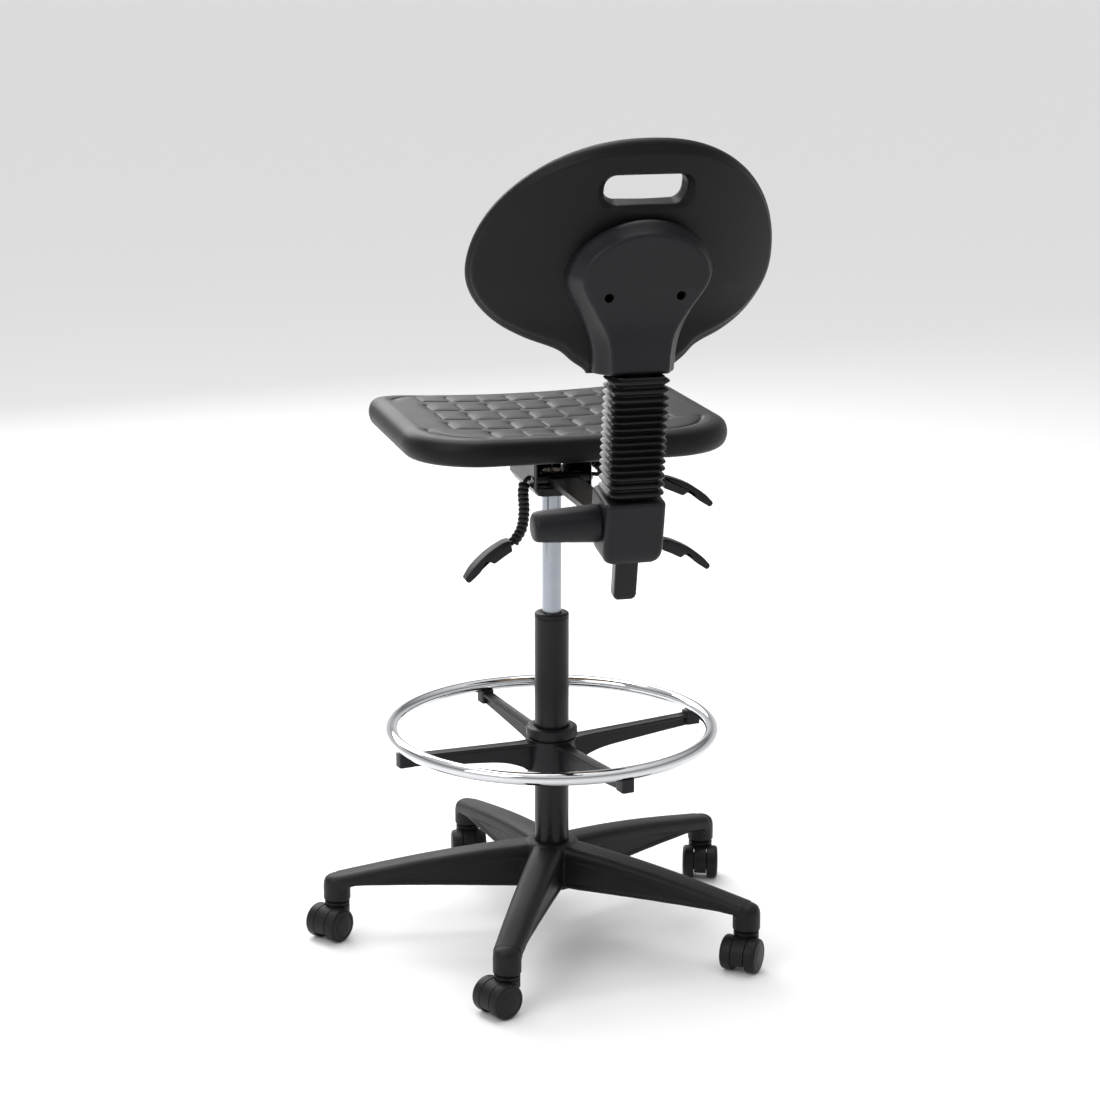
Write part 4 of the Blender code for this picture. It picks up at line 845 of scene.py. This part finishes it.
BACK_LOW, BACK_TOP = 0.898, 1.200
BACK_HALF = 0.201
BACK_WIDEST = 1.033
BACK_NECK = 0.059
BACK_THICK = 0.028
BACK_WRAP = 0.076
BACK_RECLINE = 0.374
BACK_MIDDLE = (0.376, 0.958)
SLOT_Z = 1.139
SLOT_SIZE = (0.105, 0.040)
SCREW_BORE = 0.0028
SCREW_WELL = 0.0060


def back_line(z):
    y, start = BACK_MIDDLE
    ease = 0.030
    if z > start + ease:
        return y + BACK_RECLINE * (z - start)
    if z < start - ease:
        return y + BACK_RECLINE * ease / 4 - 0.004 * min(1, (start - ease - z) / 0.03)
    t = z - start + ease
    return y + BACK_RECLINE * ease / 4 + BACK_RECLINE * (t * t / (4 * ease) - t / 4)


def soft_line(z):
    """back_line with its bends eased."""
    return sum(back_line(z + 0.004 * d) for d in range(-5, 6)) / 11


def back_surface(x, z, offset=0.0):
    across = x / BACK_HALF
    slope = (soft_line(z + 0.004) - soft_line(z - 0.004)) / 0.008
    normal = Vector((2 * BACK_WRAP * across / BACK_HALF, 1, -slope))
    return Vector((x, soft_line(z) - BACK_WRAP * across**2, z)) + normal.normalized() * offset


def back_outline():
    neck, low, wide, top = BACK_NECK, BACK_LOW, BACK_HALF, BACK_TOP
    middle = BACK_WIDEST
    right = [
        (neck * 0.93, low), (neck, low + 0.006), (neck * 1.24, low + 0.016), (neck * 1.55, low + 0.031),
        (wide * 0.64, low + 0.045),
    ]
    lower = middle - (low + 0.045)
    for i in range(1, 6):
        a = math.radians(-50 + 50 * i / 5)
        right.append((wide * math.cos(a) ** 0.95, middle + lower * math.sin(a) / math.sin(math.radians(50))))
    upper = top - middle
    for i in range(1, 11):
        a = math.radians(90 * i / 11)
        right.append((wide * math.cos(a) ** 0.92, middle + upper * math.sin(a) ** 1.02))
    return right + [(0, top)] + [(-x, z) for x, z in reversed(right)]


def slot_reach(dx, dz):
    """How far the slot's edge is from its middle in a direction, in the back's height and width."""
    half_x, half_z = SLOT_SIZE[0] / 2, SLOT_SIZE[1] / 2 * math.cos(math.atan(BACK_RECLINE))
    corner = half_z * 0.85
    low, high = 0.0, 0.08
    for _ in range(30):
        t = (low + high) / 2
        qx, qz = abs(dx * t) - (half_x - corner), abs(dz * t) - (half_z - corner)
        gap = math.hypot(max(qx, 0), max(qz, 0)) + min(max(qx, qz), 0) - corner
        if gap < 0:
            low = t
        else:
            high = t
    return low


def cover_screws():
    """Each cover screw's place across and up, and the ends of its box along Y."""
    found = []
    for word in ("left", "right"):
        low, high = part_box(f"cover_screw_{word}")
        middle = (low + high) / 2 - AXIS
        found.append((middle.x, middle.z, low.y - AXIS.y, high.y - AXIS.y))
    return found


def make_back():
    raw = back_outline()
    body = spline(raw, 6)
    bottom = [np.array((raw[-1][0] + (raw[0][0] - raw[-1][0]) * i / 12, BACK_LOW)) for i in range(1, 12)]
    outline = evenly(body + bottom, 0.0034, closed=True)
    half = BACK_THICK / 2
    rims, slots = [], []
    for x, z in outline:
        away = Vector((x, z - SLOT_Z))
        far = away.length
        away /= far
        rims.append((away, far))
        slots.append(slot_reach(away.x, away.y))

    def ring(rim_inset, slot_gap, share, offset):
        """Points between the rim, drawn in by an inset, and the slot, drawn out by a gap."""
        made = []
        for (away, far), near in zip(rims, slots):
            a, b = far - rim_inset, near + slot_gap
            q = away * (a + (b - a) * share)
            made.append(back_surface(q.x, SLOT_Z + q.y, offset))
        return made

    # Each knot is how far in from the edge, and how high as a share of half the thickness.
    rear_rim = (
        (0.0, 0.0), (0.0008, 0.26), (0.0030, 0.50), (0.0062, 0.66),
        (0.0098, 0.79), (0.0118, 0.90), (0.0150, 0.985), (0.0200, 1.0),
    )
    front_rim = (
        (0.0, 0.0), (0.0008, -0.30), (0.0030, -0.58), (0.0065, -0.80), (0.0110, -0.93), (0.0170, -1.0),
    )
    slot_rear = (
        (0.0100, 1.0), (0.0072, 0.985), (0.0060, 0.93), (0.0035, 0.74), (0.0012, 0.60), (0.0, 0.44),
    )
    slot_front = ((0.0, -0.55), (0.0008, -0.80), (0.0030, -0.95), (0.0065, -1.0))
    rings = []
    for inset, lift in spline(rear_rim, 3):
        rings.append(ring(max(inset, 0.0), 0.0100, 0.0, half * lift))
    for i in range(1, 22):
        rings.append(ring(0.0200, 0.0100, i / 22, half))
    for gap, lift in spline(slot_rear, 3):
        rings.append(ring(0.0200, gap, 1.0, half * lift))
    for lift in (0.2, 0.0, -0.2, -0.4):
        rings.append(ring(0.0170, 0.0, 1.0, half * lift))
    for gap, lift in spline(slot_front, 3):
        rings.append(ring(0.0170, max(gap, 0.0), 1.0, half * lift))
    for i in range(21, 0, -1):
        rings.append(ring(0.0170, 0.0065, i / 22, -half))
    for inset, lift in spline(front_rim, 3)[:0:-1]:
        rings.append(ring(max(inset, 0.0), 0.0065, 0.0, half * lift))
    pad = as_object("back_shell", loft(rings, closed=True))
    cuts = []
    for x, z, tip, head in cover_screws():
        cuts.append(rod(SCREW_BORE, (x, tip - GAP, z), (x, head + 0.02, z), 16))
    combine(pad, cuts, "DIFFERENCE")
    finish_piece(pad, "back", "polyurethane", ["back_pad"], 60)


COVER_HALF, COVER_FACE_HALF = 0.089, 0.080
COVER_NECK, COVER_FACE_NECK = 0.050, 0.037
COVER_TOP, COVER_BOTTOM, COVER_WIDEST = 1.101, 0.902, 1.026
COVER_HEIGHT = 0.040
LEAN = math.radians(11)
OUT = Vector((0, math.cos(LEAN), -math.sin(LEAN)))
UP = Vector((0, math.sin(LEAN), math.cos(LEAN)))
UPRIGHT_START = Vector((0, 0.3587, 0.597))
CLAMP_START, CLAMP_HALF = 0.061, 0.043  # along the upright
UPRIGHT_BEND = 0.295  # distance from its start
UPRIGHT_TOP = 1.0380
UPRIGHT_HALF, UPRIGHT_DEEP, UPRIGHT_THIN = 0.0155, 0.009, 0.004


def cover_outline(wide, neck, top, bottom):
    middle = COVER_WIDEST
    right = [
        (neck, bottom), (neck * 1.03, bottom + 0.025), (neck * 1.10 + 0.002, bottom + 0.050),
        (neck + (wide - neck) * 0.50, bottom + 0.080), (neck + (wide - neck) * 0.86, bottom + 0.106),
    ]
    for i in range(9):
        a = math.radians(90 * i / 9)
        right.append((wide * math.cos(a), middle + (top - middle) * math.sin(a)))
    return right + [(0, top)] + [(-x, z) for x, z in reversed(right)]


def section(place, half_x, half_y, radius, z=0.0, steps=6, y=0.0):
    """A rounded rectangle's points at a height in a frame."""
    return [place @ Vector((px, py + y, z)) for px, py in rounded(half_x, half_y, radius, steps)]


def upright_top():
    """The frame of the upright's flat upper end, and how far it rises from there."""
    lean = math.radians(4)
    bend = UPRIGHT_START + UP * UPRIGHT_BEND
    top = Matrix.Translation(bend) @ Matrix.Rotation(-lean, 4, "X")
    return top, (UPRIGHT_TOP - bend.z) / math.cos(lean)


def make_cover():
    def fine(points):
        curve = spline(points, 5)
        first, last = points[0], points[-1]
        wide = first[0] - last[0]
        bottom = [np.array((last[0] + wide * i / 10, last[1])) for i in range(1, 10)]
        return np.array(curve + bottom)

    base = fine(cover_outline(COVER_HALF, COVER_NECK, COVER_TOP, COVER_BOTTOM))
    face = fine(cover_outline(COVER_FACE_HALF, COVER_FACE_NECK, COVER_TOP - 0.014, COVER_BOTTOM))
    centre = np.array((0, COVER_WIDEST - 0.02))
    seat = BACK_THICK / 2 + 0.0012

    def ring(t, height, scale=1.0):
        made = []
        for x, z in centre + (base + (face - base) * t - centre) * scale:
            lifted = back_surface(x, z, seat)
            if height > 0:
                front = back_surface(0, z, seat).y - BACK_WRAP * (0.35 * x / BACK_HALF) ** 2
                share = min(1.0, height / 0.25)
                level = front + COVER_HEIGHT * height
                lifted.y = lifted.y + (level - lifted.y) * share
                lifted.z = lifted.z + (z - lifted.z) * share
            made.append(lifted)
        return made

    knots = (
        (0.0, 0.0, 1.0), (0.0, 0.13, 1.0), (0.02, 0.25, 1.0), (0.22, 0.40, 1.0), (0.55, 0.58, 1.0),
        (0.86, 0.76, 1.0), (1.0, 0.88, 0.992), (1.0, 0.955, 0.972), (1.0, 0.992, 0.940),
        (1.0, 1.0, 0.88), (1.0, 1.0, 0.70), (1.0, 1.0, 0.45), (1.0, 1.0, 0.20), (1.0, 1.0, 0.02),
    )
    rings = [ring(0, 0, s) for s in (0.02, 0.3, 0.6, 0.85)]
    rings += [ring(t, h, s) for t, h, s in spline(knots, 3)]
    cover = as_object("back_housing", loft(rings))
    melt(cover, 0.0014, 12)
    top, rise = upright_top()
    cuts = [loft([section(top, 0.016, 0.0045, 0.003, h, 4) for h in (-0.03, rise + RUN)])]
    for x, z, tip, head in cover_screws():
        under = head - 0.004
        cuts.append(rod(SCREW_WELL, (x, under - GAP, z), (x, under + 0.06, z), 48))
        cuts.append(rod(SCREW_BORE, (x, tip, z), (x, under + 0.002, z), 16))
    combine(cover, cuts, "DIFFERENCE")
    finish_piece(cover, "back", "black_plastic", ["back_cover"], 40)


def lean_frame(distance, shift=0.0):
    place = Matrix((Vector((1, 0, 0)), OUT, UP)).transposed().to_4x4()
    return Matrix.Translation(UPRIGHT_START + UP * distance + OUT * shift) @ place


def make_bellows():
    """A ribbed sleeve from the clamp's housing up to the underside of the back."""
    start = lean_frame(CLAMP_START + 2 * CLAMP_HALF) @ Vector((0, 0, GAP))
    low = Vector((0, start.y + 0.004, start.z + 0.008))
    high = Vector((0, 0.412, 0.898))
    axis = (high - low).normalized()
    place = Matrix((Vector((1, 0, 0)), axis.cross(Vector((1, 0, 0))), axis)).transposed().to_4x4()
    place = Matrix.Translation(low) @ place
    length = (high - low).length
    half_x, half_y, ridge, ridges, fine = 0.0385, 0.031, 0.0062, 16, 10
    rings = []
    for i in range(ridges * fine + 1):
        wave = (1 - math.cos(2 * math.pi * i / fine)) / 2
        pull = ridge * (1 - wave)
        height = length * i / (ridges * fine)
        rings.append(section(place, half_x - pull, half_y - pull, 0.014 - pull * 0.4, height))
    # The first ridges reach down to the clamp's housing, and the last ones level out under the cover.
    last = 3 * fine
    for i, ring in enumerate(rings[:last]):
        for p in ring:
            p -= axis * 0.006 * (1 - i / last) ** 1.5
    for i, ring in enumerate(rings[-last:], 1):
        level = low.z + (high.z + 0.003 - low.z) * (1 - (last - i) / len(rings))
        for p in ring:
            p.z += (level - p.z) * (i / last) ** 1.5
    inset = ridge + 0.0025
    for i in range(24, -1, -1):
        rings.append(section(place, half_x - inset, half_y - inset, 0.009, length * i / 24))
    bellows = as_object("bellows_sleeve", loft(rings, closed=True))
    finish_piece(bellows, None, "rubber", None, 60)
    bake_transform(bellows)
    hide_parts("bellows")


def make_upright():
    half, deep, thin = UPRIGHT_HALF, UPRIGHT_DEEP, UPRIGHT_THIN
    lower = lean_frame(0)
    rings = [
        section(lower, half - 0.0070, deep - 0.0040, 0.003, 0.0),
        section(lower, half - 0.0040, deep - 0.0015, 0.003, 0.0006),
        section(lower, half - 0.0015, deep - 0.0004, 0.003, 0.0028),
        section(lower, half, deep, 0.003, 0.0070),
        section(lower, half, deep, 0.003, 0.283),
        section(lower, half, thin, 0.003, UPRIGHT_BEND),
    ]
    top, rise = upright_top()
    rings.append(section(top, half, thin, 0.003, 0.012))
    rings.append(section(top, half, thin, 0.003, rise))
    finish_piece(as_object("back_bar", loft(rings)), "back", "black_steel", ["upright"])


def make_adjuster():
    """The moulded cover round the height clamp: a box with rounded edges and a tapered lower end."""
    frame_at = lean_frame(CLAMP_START + CLAMP_HALF)
    x, y, rise, shift = 0.040, 0.037, CLAMP_HALF, -0.003
    knots = (
        (0.0120, 0.0160, 0.010, -rise, 0.006), (0.0075, 0.0115, 0.010, -rise + 0.0012, 0.006),
        (0.0030, 0.0070, 0.010, -rise + 0.0060, 0.005), (0.0005, 0.0025, 0.009, -rise + 0.0150, 0.0025),
        (0.0, 0.0005, 0.008, -rise + 0.0280, 0.0005), (0.0, 0.0, 0.008, -rise + 0.0360, 0.0),
        (0.0, 0.0, 0.008, 0.0, 0.0), (0.0, 0.0, 0.008, rise - 0.0100, 0.0),
        (0.0, 0.0, 0.008, rise - 0.0055, 0.0), (0.0012, 0.0012, 0.008, rise - 0.0018, 0.0),
        (0.0040, 0.0040, 0.007, rise - 0.0003, 0.0), (0.0065, 0.0065, 0.006, rise, 0.0),
    )
    rings = []
    for a, b, corner, h, move in spline(knots, 3):
        rings.append(section(frame_at, x - max(a, 0), y - max(b, 0), corner, h, 8, shift + move))
    cover = as_object("clamp_housing", loft(rings))
    wall = 0.003
    inner = [
        section(frame_at, x - wall, y - wall - 0.006, 0.004, -rise + 0.010, 3, shift + 0.003),
        section(frame_at, x - wall, y - wall, 0.004, -rise + 0.036, 3, shift),
        section(frame_at, x - wall, y - wall, 0.004, rise - wall, 3, shift),
    ]
    ends = [
        section(frame_at, UPRIGHT_HALF + 0.001, UPRIGHT_DEEP + 0.001, 0.003, h, 3)
        for h in (-rise - 0.01, rise + 0.01)
    ]
    z = JOINTS["back_tilt"]["pos_m"][2]
    front = frame_at @ Vector((0, -y + shift, 0))
    knob = Vector(JOINTS["height_knob"]["pos_m"]) - AXIS
    cuts = [
        loft(inner),
        loft(ends),
        block((-0.024, front.y - 0.02, z - 0.006), (0.024, front.y + 0.016, z + 0.006)),
        rod(0.0065, knob, knob + Vector((0.06, 0, 0)), 32),
    ]
    combine(cover, cuts, "DIFFERENCE")
    soften(cover, 0.0005, 2, 40)
    finish_piece(cover, "back_arm", "black_plastic", ["adjuster_cover"], 38)
    root, tip = 0.0406, 0.0406 + 0.088
    big, small = 0.025, 0.020
    profile = [
        (0.005, 0.016), (0.005, root), (big - 0.0030, root), (big - 0.0009, root + 0.0008),
        (big, root + 0.0030), (small + 0.0009, tip - 0.0150), (small + 0.0003, tip - 0.0085),
        (small - 0.0006, tip - 0.0050), (small - 0.0024, tip - 0.0025), (small - 0.0052, tip - 0.0011),
        (small - 0.0110, tip - 0.0003), (small * 0.12, tip),
    ]
    made = as_object("height_knob", turned(profile, 128, knob, (1, 0, 0)))
    finish_piece(made, "knob", "black_plastic", ["clamp_knob"])


# ---------------------------------------------------------------- levers


def paddle_axes(heading, side):
    out = Vector((side * math.cos(heading), 0, -math.sin(heading)))
    return out, Vector((side * math.sin(heading), 0, math.cos(heading)))


def make_paddle(name, body, root, heading, node):
    """A grip: a block that takes the rod, a notch, and a thin blade with a softened edge."""
    root = Vector(root)
    side = math.copysign(1, root.x)
    out, up = paddle_axes(heading, side)
    length, half = 0.074, 0.013
    crown = ((0, 0.0075), (0.012, 0.0065), (0.038, -0.0035), (0.060, -0.0175), (length - 0.003, -0.028))
    nose = (
        (length - 0.0008, -0.0302), (length, -0.0330), (length - 0.0016, -0.0362), (length - 0.005, -0.0376),
    )
    belly = (nose[-1], (0.052, -0.0272), (0.044, -0.0192), (0.038, -0.0155), (0.0345, -0.0156))
    notch = (
        (0.0310, -0.0178), (0.0295, -0.0192), (0.0272, -0.0192), (0.025, -0.0182),
        (0.014, -0.0134), (0.0012, -0.0084), (0, -0.0070),
    )
    tip, end = ([np.array(p) for p in points] for points in (nose, notch))
    top, under = spline(crown, 5), spline(belly, 4)[1:]
    outline = evenly(top + tip + under + end, 0.0011, closed=True)
    middle = np.array((0.03, -0.008))
    rings = []
    half_edge = ((0.3, 0.0), (0.80, 0.0), (0.90, 0.0004), (0.97, 0.0012), (1.0, 0.0026))
    for y, inset in [(-y, inset) for y, inset in half_edge[::-1]] + list(half_edge):
        edges = np.roll(outline, -1, axis=0) - np.roll(outline, 1, axis=0)
        normals = np.stack([-edges[:, 1], edges[:, 0]], 1)
        normals /= np.linalg.norm(normals, axis=1)[:, None]
        drawn = outline - normals * inset * np.sign(((outline - middle) * normals).sum(1).mean())
        width = half * y * (1.0 - 0.12 * np.clip((outline[:, 0] - 0.055) / 0.019, 0, 1) ** 2)
        rings.append([root + out * p + up * q + Vector((0, w, 0)) for (p, q), w in zip(drawn, width)])
    grip = as_object(name, loft(rings))
    finish_piece(grip, body, "black_plastic", [node], 45)


def make_rod(name, body, route, root, heading, node, sleeve=None):
    root = Vector(root)
    out, up = paddle_axes(heading, math.copysign(1, root.x))
    knots = [*route, root - out * 0.004]
    path = spline([tuple(p) for p in knots], 8)
    end = root + out * 0.018 - up * 0.002
    full = path + [np.array(end)]
    finish_piece(as_object(name, tube(full, [0.003] * len(full), 20)), body, "black_steel", [node])
    if not sleeve:
        return
    covered = evenly(path[12:], 0.0007)[:-2]
    radii = [0.0068 + 0.0014 * abs(math.sin(math.pi * i / 10)) ** 0.8 for i in range(len(covered))]
    made = as_object(sleeve[0], tube(covered, radii, 20, lining=0.0046))
    finish_piece(made, body, "rubber", [sleeve[1]], 60)


def make_levers():
    half = 0.042  # of the mechanism's housing, across
    press = 0.705  # height of the gas cylinder's button
    levers = (
        (
            "height_lever", "gas_lever", (-0.151, 0.040, 0.585), 3, True,
            (0.006, 0.0, press), (-half - 0.006, 0.0, press), (-half - 0.026, 0.014, 0.697),
            (-half - 0.033, 0.036, 0.669), (-half - 0.036, 0.040, 0.633), (-half - 0.052, 0.040, 0.605),
            (-half - 0.080, 0.040, 0.592),
        ),
        (
            "back_tilt_lever", "back_lever", (-0.146, 0.060, 0.680), 1, False,
            (-half + 0.014, 0.035, 0.691), (-half - 0.010, 0.035, 0.691), (-half - 0.058, 0.056, 0.688),
        ),
        (
            "seat_tilt_lever", "seat_lever", (0.071, 0.035, 0.596), 11, True,
            (half - 0.016, 0.035, 0.690), (half + 0.003, 0.035, 0.690), (half + 0.009, 0.035, 0.673),
            (half + 0.008, 0.035, 0.643), (half + 0.012, 0.035, 0.617),
        ),
    )
    for name, body, root, degrees, sleeved, *route in levers:
        heading = math.radians(degrees)
        sleeve = (f"{name}_sleeve", f"{body}_sleeve") if sleeved else None
        make_rod(f"{name}_rod", body, route, root, heading, f"{body}_rod", sleeve)
        make_paddle(f"{name}_grip", body, root, heading, f"{body}_paddle")


# ---------------------------------------------------------------- stage


def make_camera():
    """The camera behind the chair, 15 degrees to its left and looking a little down."""
    data = bpy.data.cameras.new("camera")
    data.lens = 85
    data.sensor_width = 36
    data.clip_end = 50
    camera = bpy.data.objects.new("camera", data)
    bpy.context.scene.collection.objects.link(camera)
    around, down = math.radians(15), 0.2433
    ahead = Vector((-math.sin(around) * math.cos(down), -math.cos(around) * math.cos(down), -math.sin(down)))
    right = Vector((-math.cos(around), math.sin(around), 0))
    camera.location = AXIS + Vector((0.9375, 3.4988, 1.4738)) - right * 0.0025
    camera.rotation_mode = "QUATERNION"
    camera.rotation_quaternion = ahead.to_track_quat("-Z", "Y")
    bpy.context.scene.camera = camera


def area_light(name, at, aim, size, power, size_y=None):
    data = bpy.data.lights.new(name, "AREA")
    data.shape = "RECTANGLE"
    data.size = size
    data.size_y = size_y or size
    data.energy = power
    light = bpy.data.objects.new(name, data)
    light.location = at
    light.rotation_mode = "QUATERNION"
    light.rotation_quaternion = (Vector(aim) - Vector(at)).to_track_quat("-Z", "Y")
    bpy.context.scene.collection.objects.link(light)


def make_stage():
    mesh = bpy.data.meshes.new("floor")
    bm = bmesh.new()
    bmesh.ops.create_grid(bm, x_segments=2, y_segments=2, size=90)
    bm.to_mesh(mesh)
    bm.free()
    floor = bpy.data.objects.new("floor", mesh)
    floor.location = (0, 0, -0.0002)
    bpy.context.scene.collection.objects.link(floor)
    paint = bpy.data.materials.new("studio_floor")
    paint.use_nodes = True
    shader = paint.node_tree.nodes["Principled BSDF"]
    shader.inputs["Base Color"].default_value = (0.92, 0.92, 0.92, 1)
    shader.inputs["Roughness"].default_value = 0.9
    shader.inputs["Specular IOR Level"].default_value = 0.1
    mesh.materials.append(paint)
    area_light("key", (2.8, 1.6, 2.6), (0, 0, 0.7), 2.2, 40)
    area_light("top", (0.2, -0.9, 3.4), (0, 0, 0.6), 2.0, 60)
    area_light("front", (0.7, -3.3, 2.35), (0, 0, 0.75), 3.0, 80, 1.5)
    world = bpy.data.worlds.new("studio")
    bpy.context.scene.world = world
    world.use_nodes = True
    nodes, links = world.node_tree.nodes, world.node_tree.links
    background = nodes["Background"]
    place = nodes.new("ShaderNodeTexCoord")
    parts = nodes.new("ShaderNodeSeparateXYZ")
    links.new(place.outputs["Generated"], parts.inputs["Vector"])
    sky = nodes.new("ShaderNodeValToRGB")
    sky.color_ramp.elements[0].position = 0.20
    sky.color_ramp.elements[1].position = 1.0
    sky.color_ramp.elements[0].color = (0.62, 0.62, 0.62, 1)
    sky.color_ramp.elements[1].color = (1, 1, 1, 1)
    dim = sky.color_ramp.elements.new(0.42)
    dim.color = (0.16, 0.16, 0.165, 1)
    links.new(parts.outputs["Z"], sky.inputs["Fac"])
    links.new(sky.outputs["Color"], background.inputs["Color"])
    background.inputs["Strength"].default_value = 1.30
    bpy.context.scene.view_settings.view_transform = "Standard"


dress_nodes()
make_camera()
make_stage()
make_base()
for caster in range(1, ARM_COUNT + 1):
    make_caster(caster)
make_column()
make_footring()
make_seat()
make_back()
make_cover()
make_bellows()
make_upright()
make_adjuster()
make_levers()
